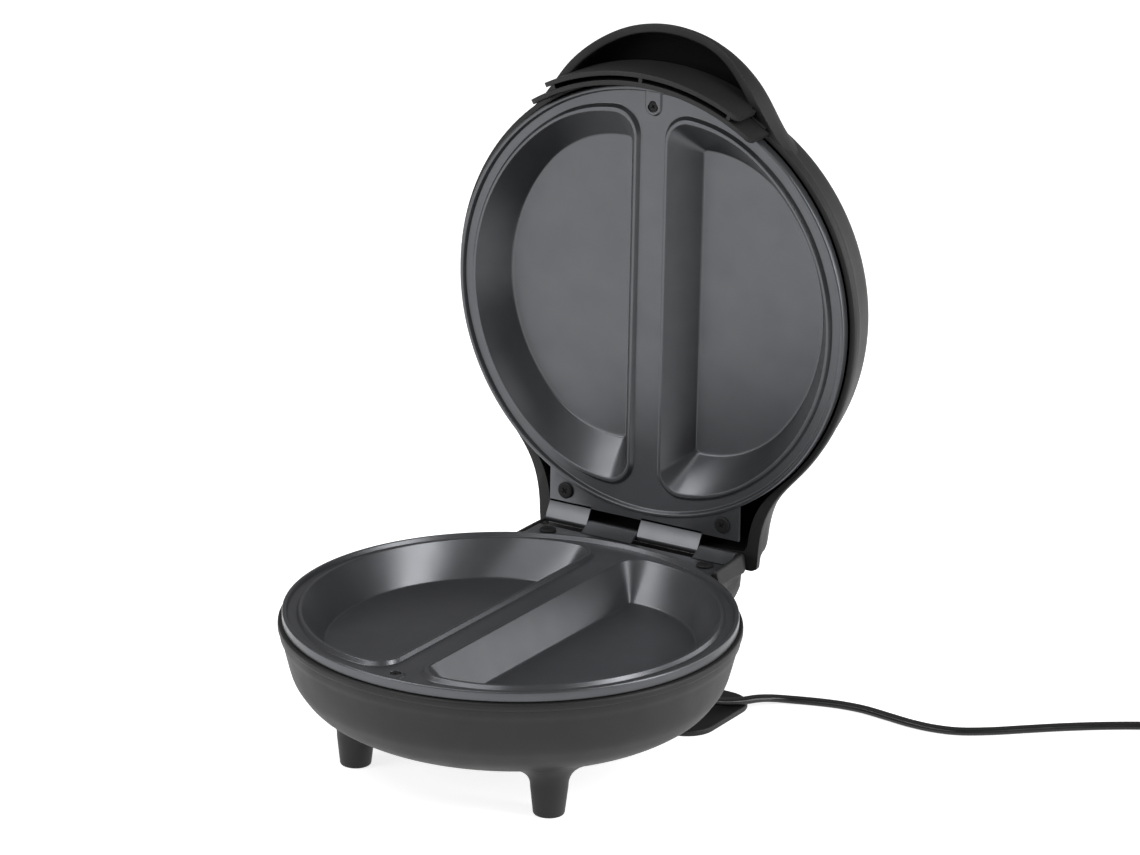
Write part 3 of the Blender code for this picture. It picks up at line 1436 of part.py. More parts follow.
def make_bushing(parent, material):
    """The tapered bushing that leads the cord out of the hub's side."""
    bm = bmesh.new()
    inside = -SHELL_WALL - FIT
    profile = (
        (BUSHING_FLANGE_RADIUS, inside - BUSHING_COLLAR),
        (BUSHING_FLANGE_RADIUS, inside),
        (BUSHING_ROOT_RADIUS, inside),
        (BUSHING_ROOT_RADIUS, FIT),
        (BUSHING_COLLAR_RADIUS, FIT),
        (BUSHING_COLLAR_RADIUS, FIT + BUSHING_COLLAR),
        (BUSHING_ROOT_RADIUS, FIT + BUSHING_COLLAR * 1.5),
        (BUSHING_TIP_RADIUS, BUSHING_LENGTH),
    )
    add_turned(bm, profile, BUSHING_SEGMENTS)
    side_on = Matrix.Rotation(math.radians(90.0), 4, "Y")
    spot = Matrix.Translation((HUB_HALF, BUSHING_Y, floor_z() + BUSHING_HEIGHT))
    bmesh.ops.transform(bm, matrix=spot @ side_on, verts=bm.verts)
    return place("cord_bushing", finish_mesh("cord_bushing", bm), parent, material)


def coil_floor():
    """Height of the centre line in the coil's lower layer, which lies on its tie."""
    return CORD_LIFT + TIE_SHEET + TIE_ROOM + CORD_RADIUS


def coil_points():
    """The put-away loops: in on the lower layer, up at the turn, out on the upper."""
    steps = round(COIL_TURNS * COIL_POINTS_PER_TURN)
    half = COIL_TURNS / 2
    outer = COIL_MEAN_RADIUS + COIL_PITCH * half / 2
    points = []
    for step in range(steps + 1):
        turn = COIL_TURNS * step / steps
        inward = half - abs(turn - half)
        radius = outer - COIL_PITCH * inward
        climb = min(max((turn - half) / 0.5 + 0.5, 0.0), 1.0)
        rise = climb * climb * (3 - 2 * climb)
        angle = math.radians(COIL_START_DEGREES) - math.tau * turn
        points.append(COIL_CENTRE + Vector((
            radius * math.cos(angle),
            radius * math.sin(angle),
            coil_floor() + COIL_PITCH * rise,
        )))
    lead = 2 * CORD_RADIUS
    first = (points[0] - points[1]).normalized()
    last = (points[-1] - points[-2]).normalized()
    first.z = 0.0
    last.z = 0.0
    return [points[0] + first * lead] + points + [points[-1] + last * lead]


def bare_gap(points, radius, skip):
    """The least free distance between parts of a tube that are not neighbours."""
    least = None
    for index, point in enumerate(points):
        for other in points[index + skip:]:
            gap = (point - other).length - 2 * radius
            least = gap if least is None else min(least, gap)
    return least


def fine_points(points, parts):
    """The points of a line of straight steps, with more between them."""
    fine = []
    for start, end in zip(points, points[1:]):
        fine += [start.lerp(end, part / parts) for part in range(parts)]
    return fine + [points[-1]]


def make_cord(parent, material, tie_material):
    """The free stretch of the cord, the put-away coil and the tie round it."""
    loops = coil_points()
    parts = 4
    gap = bare_gap(fine_points(loops, parts), CORD_RADIUS, COIL_POINTS_PER_TURN * parts // 3)
    print(f"cord_coil least gap to itself: {gap * 1000.0:.2f} mm")
    make_tube("cord_coil", [loops], CORD_RADIUS, parent, material, 1)

    exit_height = BUSHING_HEIGHT
    tip = HUB_HALF + BUSHING_LENGTH + FIT
    start = Vector((tip, BUSHING_Y - origin_y(), exit_height))
    heading = (loops[0] - loops[1]).normalized()
    end = loops[0] + heading * FIT
    lead = end + heading * 2 * CORD_RADIUS
    straight = start + Vector((2 * CORD_RADIUS, 0.0, 0.0))
    route = [straight, *[Vector(point) for point in CORD_ROUTE], lead]
    line = [start, *smooth_path(route, CORD_STEPS), end]
    make_tube("cord_free", [line], CORD_RADIUS, parent, material)
    total = sum((b - a).length for a, b in zip(line, line[1:]))
    total += sum((b - a).length for a, b in zip(loops, loops[1:]))
    print(f"cord length: {total:.3f} m, lowest centre: {min(p.z for p in line) * 1000.0:.2f} mm")

    make_tie(loops, parent, tie_material)
    return loops


def make_tie(loops, parent, material):
    """A flat band closed round the coil's turns at one bearing."""
    bearing = math.radians(TIE_DEGREES)
    out = Vector((math.cos(bearing), math.sin(bearing), 0.0))
    along_coil = Vector((-out.y, out.x, 0.0))
    near = []
    for point in fine_points(loops, 4):
        offset = point - COIL_CENTRE
        if abs(offset.dot(along_coil)) < TIE_WIDTH and offset.dot(out) > 0:
            near.append(offset)
    room = CORD_RADIUS + TIE_ROOM
    low_r = min(offset.dot(out) for offset in near) - room
    high_r = max(offset.dot(out) for offset in near) + room
    low_z = min(offset.z for offset in near) - room
    high_z = max(offset.z for offset in near) + room
    rings = []
    for side, sheet in ((-1, 0.0), (-1, TIE_SHEET), (1, TIE_SHEET), (1, 0.0)):
        centre = ((low_r + high_r) / 2, (low_z + high_z) / 2)
        half = ((high_r - low_r) / 2 + sheet, (high_z - low_z) / 2 + sheet)
        outline = rounded_rectangle(half[0], -half[1], half[1], room + sheet, 4)
        rings.append([
            COIL_CENTRE + out * (centre[0] + across) + Vector((0.0, 0.0, centre[1] + up))
            + along_coil * side * TIE_WIDTH / 2
            for across, up in outline
        ])
    bm = bmesh.new()
    add_ring_skin(bm, rings)
    place("cord_tie", finish_mesh("cord_tie", bm), parent, material)


def make_plug(loops, parent, material, blade_material):
    """A moulded two-blade plug that lies beside the coil, on the end of the cord."""
    heading = (loops[-1] - loops[-2]).normalized()
    turn = Matrix.Rotation(math.atan2(heading.y, heading.x), 4, "Z")
    spot = Matrix.Translation(loops[-1] + heading * FIT)
    half = loops[-1].z - CORD_LIFT
    neck = CORD_RADIUS + CORD_LIFT * 6
    body_start = PLUG_NECK_LENGTH
    body_end = body_start + PLUG_LENGTH
    sections = (
        (0.0, neck, neck, 1.0), (body_start * 0.75, neck * 1.25, neck * 1.25, 1.0),
        (body_start, PLUG_WIDTH * 0.32, half * 0.55, 0.8),
        (body_start + PLUG_LENGTH * 0.15, PLUG_WIDTH * 0.46, half * 0.86, 0.6),
        (body_start + PLUG_LENGTH * 0.4, PLUG_WIDTH / 2, half, 0.5),
        (body_start + PLUG_LENGTH * 0.8, PLUG_NOSE_WIDTH / 2, half, 0.5),
        (body_end, PLUG_NOSE_WIDTH / 2, half * 0.94, 0.5),
    )
    rings = []
    for x, half_y, half_z, corner_share in sections:
        corner = min(half_y, half_z) * corner_share
        outline = rounded_rectangle(half_y, -half_z, half_z, corner * 0.999, 4)
        rings.append([Vector((x, y, z)) for y, z in outline])
    bm = bmesh.new()
    add_loft(bm, rings)
    bmesh.ops.transform(bm, matrix=spot @ turn, verts=bm.verts)
    place("plug_body", finish_mesh("plug_body", bm), parent, material)
    outline = rounded_rectangle(
        BLADE_THICKNESS / 2, -BLADE_WIDTH / 2, BLADE_WIDTH / 2, BLADE_THICKNESS * 0.4, 2
    )
    for side, word in ((1, "a"), (-1, "b")):
        bm = bmesh.new()
        rings = []
        for x, scale in ((0.0, 1.0), (BLADE_LENGTH * 0.88, 1.0), (BLADE_LENGTH, 0.7)):
            rings.append([Vector((x, y * scale, z * scale)) for y, z in outline])
        add_loft(bm, rings)
        shift = Matrix.Translation((body_end + FIT, side * BLADE_PITCH / 2, 0.0))
        bmesh.ops.transform(bm, matrix=spot @ turn @ shift, verts=bm.verts)
        name = "plug_blade_" + word
        place(name, finish_mesh(name, bm), parent, blade_material)


# Inner cord and wires

def block_face():
    """Y of the terminal block's rear face, with the gap that a wire keeps to it."""
    return BLOCK_Y + BLOCK_WIDTH / 2 + FIT


def make_inner_cord(parent, material):
    """The sheathed cord inside the hub, up to the terminal block and under the clamp."""
    low = floor_z() + BUSHING_HEIGHT
    bed = -SHELL_DEPTH + SHELL_WALL + FIT + INNER_CORD_RADIUS
    edge = HUB_FRONT + SHELL_WALL
    start = HUB_HALF - SHELL_WALL - FIT - BUSHING_COLLAR - FIT
    route = [
        Vector((start, BUSHING_Y, low)),
        Vector((start * 0.6, BUSHING_Y, low + INNER_CORD_RADIUS * 0.4)),
        Vector((start * 0.1, BUSHING_Y * 0.94, low + INNER_CORD_RADIUS * 3)),
        Vector((0.0, (BUSHING_Y + edge) / 2, (low + bed) / 2 + INNER_CORD_RADIUS * 1.5)),
        Vector((0.0, edge * 1.01, bed + INNER_CORD_RADIUS * 2.2)),
        Vector((0.0, CLAMP_Y + CLAMP_WIDTH, bed)),
        Vector((0.0, CLAMP_Y, bed)),
    ]
    line = smooth_path(route, 2) + [Vector((0.0, block_face(), bed))]
    make_tube("inner_cord", [line], INNER_CORD_RADIUS, parent, material)


def make_clamp(parent, material, screw_material):
    """The bar that holds the inner cord down, with its two screws."""
    bottom = -clamp_depth()
    top = bottom + CLAMP_SHEET
    reach = CLAMP_HALF + CLAMP_BOSS_RADIUS
    outline = rounded_rectangle(
        reach, CLAMP_Y - CLAMP_WIDTH / 2, CLAMP_Y + CLAMP_WIDTH / 2, CLAMP_WIDTH * 0.3, 3
    )
    bm = bmesh.new()
    add_prism(bm, outline, bottom, top)
    bar = place("cord_clamp", finish_mesh("cord_clamp", bm), parent, material)
    bm = bmesh.new()
    add_turned(bm, (
        (CLAMP_SCREW_RADIUS, -CLAMP_SCREW_LENGTH), (CLAMP_SCREW_RADIUS, 0.0),
        (CLAMP_SCREW_HEAD, 0.0), (CLAMP_SCREW_HEAD * 0.8, CLAMP_SCREW_RADIUS),
    ), SCREW_SEGMENTS)
    screw = finish_mesh("cord_clamp_screw", bm)
    holes = bmesh.new()
    room = CLAMP_SCREW_RADIUS + FIT
    for side, word in sides_of(False):
        spot = (side * CLAMP_HALF, CLAMP_Y)
        add_turned(holes, ((room, bottom - OVERRUN), (room, top + OVERRUN)), 10, spot)
        place("cord_clamp_screw_" + word, screw, parent, screw_material, (*spot, top + FIT))
    combine(bar, "DIFFERENCE", cutter("clamp holes", finish_mesh("clamp holes", holes), parent))


def stud_tip():
    """Where a wire meets the end of the element's stud at +X."""
    end = element_path()[-1]
    return end + Vector((0.0, 2 * FIT + TERMINAL_STUD_LENGTH, 0.0))


def make_wires(prefix, parent, material, from_block):
    """Leads to the two studs, from the terminal block or from beside the hinge."""
    tip = stud_tip()
    outside = tip.y + WIRE_STANDOFF
    lead = Vector((0.0, 2 * WIRE_RADIUS, 0.0))
    way = BLOCK_LENGTH / BLOCK_WAYS
    if from_block:
        start = Vector((way, block_face(), -SHELL_DEPTH + SHELL_WALL + BLOCK_HEIGHT / 2))
        route = [
            start + Vector((WIRE_HALF, CLAMP_Y - start.y, 2 * WIRE_RADIUS)),
            Vector((way, REFLECTOR_RIM_RADIUS, -REFLECTOR_DEPTH - WIRE_STANDOFF * 0.8)),
            Vector((way, outside, -REFLECTOR_DEPTH + WIRE_RADIUS)),
        ]
    else:
        start = Vector((tip.x + WIRE_HALF, WIRE_HINGE_Y, -WIRE_HINGE_DEPTH))
        lead = -lead
        route = [start + Vector((0.0, outside - start.y, -WIRE_RADIUS * 4))]
    meet = tip + Vector((0.0, 2 * WIRE_RADIUS, 0.0))
    route += [tip + Vector((0.0, WIRE_STANDOFF * 0.7, 0.0)), meet]
    for side, word in sides_of(not from_block):
        mirror = Vector((side, 1.0, 1.0))
        line = [start, *smooth_path([start + lead, *route], 2), tip]
        line = [mirror * point for point in line]
        make_tube(f"{prefix}_{word}", [line], WIRE_RADIUS, parent, material, 1)


def lid_reach():
    """Distance of the open lid's back from the hinge pin."""
    return SHELL_DEPTH + CLOSED_GAP / 2


def origin_y():
    """Y of the middle between the front of the base and the back of the open lid."""
    return (PIVOT_Y + lid_reach() - SHELL_RIM_RADIUS) / 2


def knuckle_spans(first, last):
    """Every second stretch between the knuckle edges."""
    spans = list(zip(KNUCKLE_EDGES, KNUCKLE_EDGES[1:]))
    return spans[first:last:2]


def make_heating(prefix, parent, finish, lid):
    """Everything that heats and guards one plate."""
    make_element(prefix, parent, finish["element"], finish["steel"], lid)
    make_clips(prefix, parent, finish["steel"], lid)
    make_reflector(prefix + "_reflector", parent, finish["aluminium"])
    if lid:
        make_fuse(prefix + "_thermal_fuse", parent, finish["ceramic"])
    else:
        make_thermostat(prefix + "_thermostat", parent, finish["ceramic"])


def make_finishes():
    """All the finishes of the appliance."""
    return {
        "shell": make_material("black_moulding", (0.018, 0.018, 0.019), 0.42),
        "plate": make_material("coated_plate", (0.062, 0.066, 0.074), 0.34, 0.55),
        "screw": make_material("black_screw", (0.012, 0.012, 0.013), 0.40, 0.3),
        "steel": make_material("bright_steel", (0.56, 0.57, 0.59), 0.30, 1.0),
        "aluminium": make_material("aluminium", (0.60, 0.61, 0.62), 0.38, 1.0),
        "element": make_material("element_sheath", (0.16, 0.15, 0.14), 0.45, 1.0),
        "ceramic": make_material("white_ceramic", (0.74, 0.72, 0.67), 0.50),
        "cord": make_material("cord_sheath", (0.014, 0.014, 0.015), 0.38),
        "wire": make_material("wire_sleeve", (0.62, 0.60, 0.55), 0.60),
        "red": make_material("red_lens", (0.55, 0.02, 0.015), 0.15),
        "green": make_material("green_lens", (0.02, 0.36, 0.06), 0.15),
        "glass": make_material("lamp_glass", (0.80, 0.78, 0.74), 0.12),
        "brass": make_material("plug_brass", (0.76, 0.62, 0.34), 0.28, 1.0),
    }


def build():
    """Place every piece, the base on the table and the lid turned open."""
    clear_scene()
    finish = make_finishes()
    appliance = make_empty("appliance", None, (0.0, -origin_y(), 0.0))
    base = make_empty("base_half", appliance, (0.0, 0.0, CREST_HEIGHT))
    pivot = (0.0, PIVOT_Y, CREST_HEIGHT + CLOSED_GAP / 2)
    opened = (math.radians(-LID_OPEN_DEGREES), 0.0, 0.0)
    hinge = make_empty("lid_hinge", appliance, pivot, opened)
    over = (0.0, math.pi, 0.0)
    lid = make_empty("lid_half", hinge, (0.0, -PIVOT_Y, CLOSED_GAP / 2), over)

    make_base_shell(base, finish["shell"])
    make_wrap_plate(base, finish["shell"])
    make_wrap_screws(base, finish["steel"])
    make_plate("lower_plate", base, finish["plate"], knuckle_spans(1, 4))
    make_plate_screws("lower", base, finish["screw"], False)
    make_pin(base, finish["steel"], finish["screw"])
    make_heating("lower", base, finish, False)
    make_block(base, finish["ceramic"], finish["brass"])
    make_inner_cord(base, finish["cord"])
    make_clamp(base, finish["ceramic"], finish["steel"])
    make_wires("base_wire", base, finish["wire"], True)
    make_bushing(base, finish["cord"])

    make_lid_shell(lid, finish["shell"])
    make_apron(lid, finish["shell"])
    spans = [(-end, -start) for start, end in knuckle_spans(0, 4)]
    make_plate("upper_plate", lid, finish["plate"], spans)
    make_plate_screws("upper", lid, finish["screw"], True)
    make_heating("upper", lid, finish, True)
    make_lamps(lid, finish["red"], finish["green"], finish["glass"], finish["steel"])
    make_wires("lid_wire", lid, finish["wire"], False)

    loops = make_cord(None, finish["cord"], finish["screw"])
    make_plug(loops, None, finish["cord"], finish["brass"])


build()
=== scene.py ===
"""Fine surfaces, finishes, light and camera for the omelette maker."""
import json
import math

import bmesh
import bpy
from mathutils import Matrix, Vector


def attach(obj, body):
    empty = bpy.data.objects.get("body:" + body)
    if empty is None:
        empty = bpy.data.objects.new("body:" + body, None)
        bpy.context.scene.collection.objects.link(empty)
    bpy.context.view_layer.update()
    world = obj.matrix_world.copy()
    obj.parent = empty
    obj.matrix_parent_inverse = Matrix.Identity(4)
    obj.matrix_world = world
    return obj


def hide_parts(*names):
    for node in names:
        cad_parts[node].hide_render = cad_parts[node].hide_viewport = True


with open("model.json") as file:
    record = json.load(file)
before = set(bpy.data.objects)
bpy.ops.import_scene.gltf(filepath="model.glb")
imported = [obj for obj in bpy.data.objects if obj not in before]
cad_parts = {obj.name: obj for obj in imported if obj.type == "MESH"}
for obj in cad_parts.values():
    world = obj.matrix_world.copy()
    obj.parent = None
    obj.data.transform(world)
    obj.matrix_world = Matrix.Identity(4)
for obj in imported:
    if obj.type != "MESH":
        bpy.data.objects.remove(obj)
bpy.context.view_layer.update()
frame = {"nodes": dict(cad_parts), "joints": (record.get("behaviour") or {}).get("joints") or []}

# Every length is in metres. Heights in a half of the appliance are measured from its
# crest plane, and a depth is the distance behind that plane, away from the food.

# Hinge and overall arrangement
PIVOT_Y = 0.1200
HALF_GAP = 0.0004
CREST_HEIGHT = 0.0747

# Small lengths that many pieces share
HAIR = 0.0001
MARGIN = 0.0004
FINEST_ROUND = 0.0002
FINE_ROUND = 0.0003
EDGE_ROUND = 0.0005
SHARP_DEGREES = 30.0

# Camera, as the photograph was taken
PHOTO_WIDTH = 1140
FOCAL_PIXELS = 5203.38
SENSOR_WIDTH = 36.0
AZIMUTH_DEGREES = 31.47
ELEVATION_DEGREES = 18.568
ROLL_DEGREES = 1.039
CAMERA_DISTANCE = 2.4673
AIM_RIGHT = 0.0265
AIM_UP = 0.08618
AIM_BASE = Vector((0.0, -0.0322, 0.0747))

# Cooking plates
RIM_CREST_RADIUS = 0.1070
SKIRT_RADIUS = 0.1085
SKIRT_WALL = 0.0015
SKIRT_DEPTH = 0.0050
WEB_DEPTH = 0.0020
SHEET = 0.0015
POCKET_CREST_RADIUS = 0.0998
DIVIDER_HALF = 0.0087
POCKET_CORNER = 0.0120
SHOULDER_RADIUS = 0.0680
SHOULDER_DEGREES = 56.0
SHOULDER_TURN_DEGREES = 16.0
POCKET_DEPTH = 0.0170
WALL_RUN = 0.0114
CORNER_DRAW_SHARE = 0.85
SHOULDER_DRAW_SHARE = 0.956
BEAD_HALF = 0.0019
BEAD_ROUND = 0.0007
FLOOR_ROUND = 0.0020
FLOOR_RUN = 0.0016
RIM_FOOT_INSET = 0.0013
RIM_CREST_INSET = 0.0004
RIM_ROUND = 0.0011
PLATE_SEGMENTS = 192
ARC_STEPS = 96
CORNER_STEPS = 12
LINE_STEPS = 32

# Hinge tab, knuckles and screws
TAB_HALF = 0.0543
TAB_REAR = 0.1120
TAB_SHEET = 0.0011
TAB_TOP = -0.0011
KNUCKLE_RADIUS = 0.0026
KNUCKLE_EDGES = (-0.0543, -0.0302, -0.0014, 0.0335, 0.0543)
REAR_SCREW_X = 0.0450
REAR_SCREW_Y = 0.1050
FRONT_SCREW_Y = -0.0987
REAR_HEAD_RADIUS = 0.00415
REAR_HEAD_HEIGHT = 0.0010
FRONT_HEAD_RADIUS = 0.0026
FRONT_HEAD_TOP = -0.0014
FRONT_HOLE_RADIUS = 0.00285
SEAT_FOOT_HALF = 0.0048
SEAT_HALF = 0.0040
SEAT_RISE = 0.0009
SEAT_END_INSET = 0.0010
SEAT_LAND = 0.0006
SEAT_STEPS = 24
TAB_TUCK = 0.0003
TAB_SOFT = 0.00025
TAB_ARC_STEPS = 24
KNUCKLE_LEAD = 0.0010
KNUCKLE_GAP = 0.00015
KNUCKLE_CURL_DEGREES = -165.0
KNUCKLE_STEPS = 28
HEAD_LIFT = 0.0003
HEAD_EDGE = 0.0004
HEAD_ROUND = 0.0008
SHANK_RADIUS = 0.0016
SHANK_TIP_RADIUS = 0.0009
SHANK_LENGTH = 0.0120
SHANK_STRAIGHT = 0.0110
SCREW_SEGMENTS = 48
RECESS_DEPTH = 0.0006
RECESS_DEGREES = (40.0, 130.0)

# Moulded shells
SHELL_RIM_RADIUS = 0.1105
SHELL_DEPTH = 0.0545
SHELL_WALL = 0.0026
SHELL_TOP = 0.0053
BEAD_BAND = 0.0034
BEAD_PROUD = 0.0009
BEAD_TOP_ROUND = 0.0016
BEAD_FOOT_ROUND = 0.0012
SHELL_CAP_SHARE = 0.96
LID_RIM_EXTRA = 0.0015
LID_NECK_HALF = 0.0630
BASE_NECK_HALF = 0.0585
BASE_NECK_REAR = 0.1220
LID_NECK_REAR = 0.1280
LID_NECK_STEP = 0.0070
LID_NECK_LIP = 0.0036
LID_NECK_BLEND = 0.0280
BASE_NECK_BLEND = 0.0140
NECK_CORNER_BLEND = 0.0050
BOWL_SHARES = (
    (0.17, 0.992), (0.33, 0.972), (0.55, 0.943), (0.66, 0.914), (0.77, 0.869),
    (0.862, 0.801), (0.923, 0.729), (0.972, 0.643), (1.0, 0.560),
)
NECK_SHARES = (
    (0.0, 1.0, 1.0), (0.26, 0.985, 0.99), (0.33, 0.968, 0.975), (0.46, 0.905, 0.93),
    (0.62, 0.82, 0.86), (0.77, 0.735, 0.78), (0.92, 0.56, 0.62), (1.0, 0.45, 0.45),
)

# Hinge ears of the base shell
EAR_INNER = 0.0558
EAR_ROOT_INSET = 0.0004
EAR_WIDTH = 0.0044
EAR_LENGTH = 0.0295
EAR_REAR = 0.1238
EAR_RISE = 0.0034
EAR_LEFT_RISE = -0.0016
EAR_LOW = 0.0046
EAR_UNDER = 0.0055
EAR_ROOT = 0.0120
EAR_ROOT_WIDTH = 0.0018
EAR_SHARES = (
    (0.0, 0.20, 0.84), (0.05, 0.55, 0.92), (0.30, 0.70, 1.0), (0.60, 0.88, 1.0),
    (0.78, 1.0, 0.98), (0.88, 0.92, 0.74), (0.96, 0.50, 0.46), (1.0, -0.50, 0.30),
)
EAR_SECTION = ((0.0, 0.80), (0.12, 0.97), (0.36, 1.0), (0.60, 0.84), (0.82, 0.42), (1.0, 0.0))

# Hub and cord-wrap plate
HUB_HALF = 0.0180
HUB_FRONT = 0.0700
HUB_REAR = 0.1080
HUB_CORNER = 0.0060
HUB_GAP = 0.0033
HUB_TOP_SHARE = 0.62
HUB_EASE = 0.0006
WRAP_HALF = 0.0662
WRAP_FRONT = 0.0650
WRAP_REAR = 0.1250
WRAP_CORNER = 0.0150
WRAP_THICKNESS = 0.0030
WRAP_EASE = 0.0008

# Legs
LEG_X = 0.0542
LEG_Y = -0.0505
LEG_FOOT_RADIUS = 0.0074
LEG_WAIST_RADIUS = 0.0090
LEG_FLARE_RADIUS = 0.0185
LEG_WAIST_DROP = 0.0060
LEG_FOOT_ROUND = 0.0014
LEG_CORE_RADIUS = 0.0010
LEG_SEGMENTS = 64
LEG_FILLET_STEPS = 12

# Hood and apron
HOOD_CENTRE_Y = -0.0700
HOOD_RADIUS = 0.0662
HOOD_BLEND = 0.0120
HOOD_SINK = 0.0008
HOOD_LIP_DEPTH = 0.0146
HOOD_SIDE_DEPTH = 0.0060
HOOD_VOID_DEPTH = 0.0316
HOOD_TOP_DEPTH = 0.0500
HOOD_DRAW = 0.0540
HOOD_WALL = 0.0045
HOOD_VOID_START = 0.0020
HOOD_VOID_DRAW = 0.0090
HOOD_CUT_SHRINK = 0.0012
HOOD_SEGMENTS = 160
LIP_REACH = 0.0010
LIP_ROUND = 0.0009
LIP_LEVEL_DEGREES = 18.0
LIP_RISE_DEGREES = 40.0
APRON_INNER_RADIUS = 0.1123
APRON_NEAR_RADIUS = 0.1109
APRON_FAR_RADIUS = 0.1179
APRON_INNER_DEGREES = 33.4
APRON_OUTER_DEGREES = 27.8
APRON_FRONT = 0.0046
APRON_STRIP = 0.0024
APRON_CORNER = 0.0036
APRON_RIB_DEGREES = 25.2
APRON_RIB_HALF = 0.0010
APRON_WALL = 0.0017
APRON_REACH = 0.0118
APRON_ROOT_TOP = 0.0050
APRON_LIP_GAP = 0.0003
APRON_SEGMENTS = 72
APRON_WALL_DRAW_DEGREES = 1.5
APRON_ROOT_DRAW_DEGREES = 0.5
RIB_FOOT = 0.0070
RIB_SINK = 0.0005

# Floor, studio and softboxes: a lamp's name, direction, distance, size and power
FLOOR_HALF = 12.0
FLOOR_GLOW = 0.80
GLOW_FULL_X = -0.05
GLOW_GONE_X = 0.55
STUDIO_STRENGTH = 0.20
LAMP_AIM = Vector((0.0, 0.0, 0.1))
LAMPS = (
    ("front_high", (-0.05, -0.66, 0.75), 2.0, (1.3, 0.8), 9.0),
    ("right_high", (0.80, 0.10, 0.62), 2.0, (0.6, 0.9), 15.0),
    ("high_left", (-0.50, -0.16, 0.85), 2.0, (0.8, 0.8), 11.0),
    ("front_left", (-0.495, -0.76, 0.34), 2.2, (1.0, 0.8), 10.0),
    ("right_low", (0.95, 0.22, 0.16), 2.0, (0.5, 0.7), 13.0),
    ("rear_right", (0.62, 0.78, 0.20), 2.2, (1.5, 0.8), 9.0),
)

# Cord
CORD_WIDTH = 0.0056
CORD_THICKNESS = 0.0031
CORD_DROP = 0.00125
CORD_RADIUS = 0.0028
CORD_GROOVE = 0.00035
CORD_GAP = 0.0003
CORD_LEAD = 0.0030
CORD_SHARP_DEGREES = 50.0
BUSHING_Y = 0.0970
BUSHING_HEIGHT = 0.0084
BUSHING_LENGTH = 0.0210
BUSHING_ROOT_RADIUS = 0.0046
BUSHING_TIP_RADIUS = 0.0036
BUSHING_COLLAR_RADIUS = 0.0048
BUSHING_FLANGE_RADIUS = 0.0050
BUSHING_FLANGE_START = -0.0045
BUSHING_FLANGE_END = -0.0029
BUSHING_COLLAR_START = 0.0003
BUSHING_COLLAR_END = 0.0019
BUSHING_COLLAR_FOOT = 0.0024
BUSHING_MOUTH_RADIUS = 0.0033
BUSHING_MOUTH_LENGTH = 0.0006
BUSHING_BORE_RADIUS = 0.0026
BUSHING_RIBS = 7
BUSHING_RIBS_START = 0.0030
BUSHING_PLAIN_LENGTH = 0.0040
BUSHING_RIB_DEPTH = 0.0007
BUSHING_SEGMENTS = 48
ORIGIN_Y = 0.0322
COIL_CENTRE = Vector((0.2960, 0.1490, 0.0))
COIL_MEAN_RADIUS = 0.0300
COIL_PITCH = 0.0063
COIL_TURNS = 3.2
COIL_START_DEGREES = 90.0
COIL_FLOOR = 0.00295
COIL_LAYER = 0.0034
PLUG_HEIGHT = 0.0105
TIE_DEGREES = 262.0
TIE_WIDTH = 0.0060
TIE_ROOM = 0.0003
TIE_SHEET = 0.0008
TIE_CORNER = 0.0016
PLUG_LENGTH = 0.0280
PLUG_WIDTH = 0.0230
PLUG_NOSE_WIDTH = 0.0250
PLUG_NECK_LENGTH = 0.0200
PLUG_NECK_START = 0.0034
PLUG_NECK_END = 0.0042
PLUG_RIB = 0.0005
PLUG_END_SHARE = 2.4
PLUG_STEPS = 96
CORD_ROUTE = (
    (0.0450, 0.0650, 0.0082), (0.0515, 0.0678, 0.0071), (0.0570, 0.0728, 0.0062),
    (0.0630, 0.0800, 0.0060), (0.0680, 0.0880, 0.0058), (0.0722, 0.0955, 0.0045),
    (0.0795, 0.1022, 0.0032), (0.0910, 0.1072, 0.0029), (0.1025, 0.1103, 0.0029),
    (0.1150, 0.1114, 0.0029), (0.1292, 0.1098, 0.0029), (0.1429, 0.1082, 0.0029),
    (0.1559, 0.1089, 0.0029), (0.1675, 0.1126, 0.0029), (0.1800, 0.1215, 0.0029),
    (0.1930, 0.1335, 0.0029), (0.2070, 0.1462, 0.0029), (0.2230, 0.1588, 0.0030),
    (0.2410, 0.1702, 0.0033), (0.2600, 0.1787, 0.0038),
)


def pivot_matrix(lid):
    """The placement of a half's own measure in the world, with the lid standing open."""
    hinge = Vector(frame["joints"][0]["pos_m"])
    centre = Matrix.Translation((0.0, -PIVOT_Y, -HALF_GAP))
    if not lid:
        return Matrix.Translation(hinge) @ centre
    turn = Matrix(((-1.0, 0.0, 0.0), (0.0, 0.0, -1.0), (0.0, -1.0, 0.0))).to_4x4()
    return Matrix.Translation(hinge) @ turn @ centre


def make_camera():
    """The camera at the photograph's angle, roll and lens."""
    azimuth = math.radians(AZIMUTH_DEGREES)
    elevation = math.radians(ELEVATION_DEGREES)
    roll = math.radians(ROLL_DEGREES)
    right = Vector((math.cos(azimuth), math.sin(azimuth), 0.0))
    back = Vector((
        math.sin(azimuth) * math.cos(elevation),
        -math.cos(azimuth) * math.cos(elevation),
        math.sin(elevation),
    ))
    up = back.cross(right)
    across = right * math.cos(roll) + up * math.sin(roll)
    upward = up * math.cos(roll) - right * math.sin(roll)
    target = right * AIM_RIGHT + up * AIM_UP + AIM_BASE
    place = target + back * CAMERA_DISTANCE
    data = bpy.data.cameras.new("camera")
    data.sensor_width = SENSOR_WIDTH
    data.lens = FOCAL_PIXELS / PHOTO_WIDTH * SENSOR_WIDTH
    data.clip_start = 0.05
    data.clip_end = 20.0
    camera = link("camera", data)
    matrix = Matrix((across, upward, back)).transposed().to_4x4()
    camera.matrix_world = Matrix.Translation(place) @ matrix
    bpy.context.scene.camera = camera


# Mesh helpers

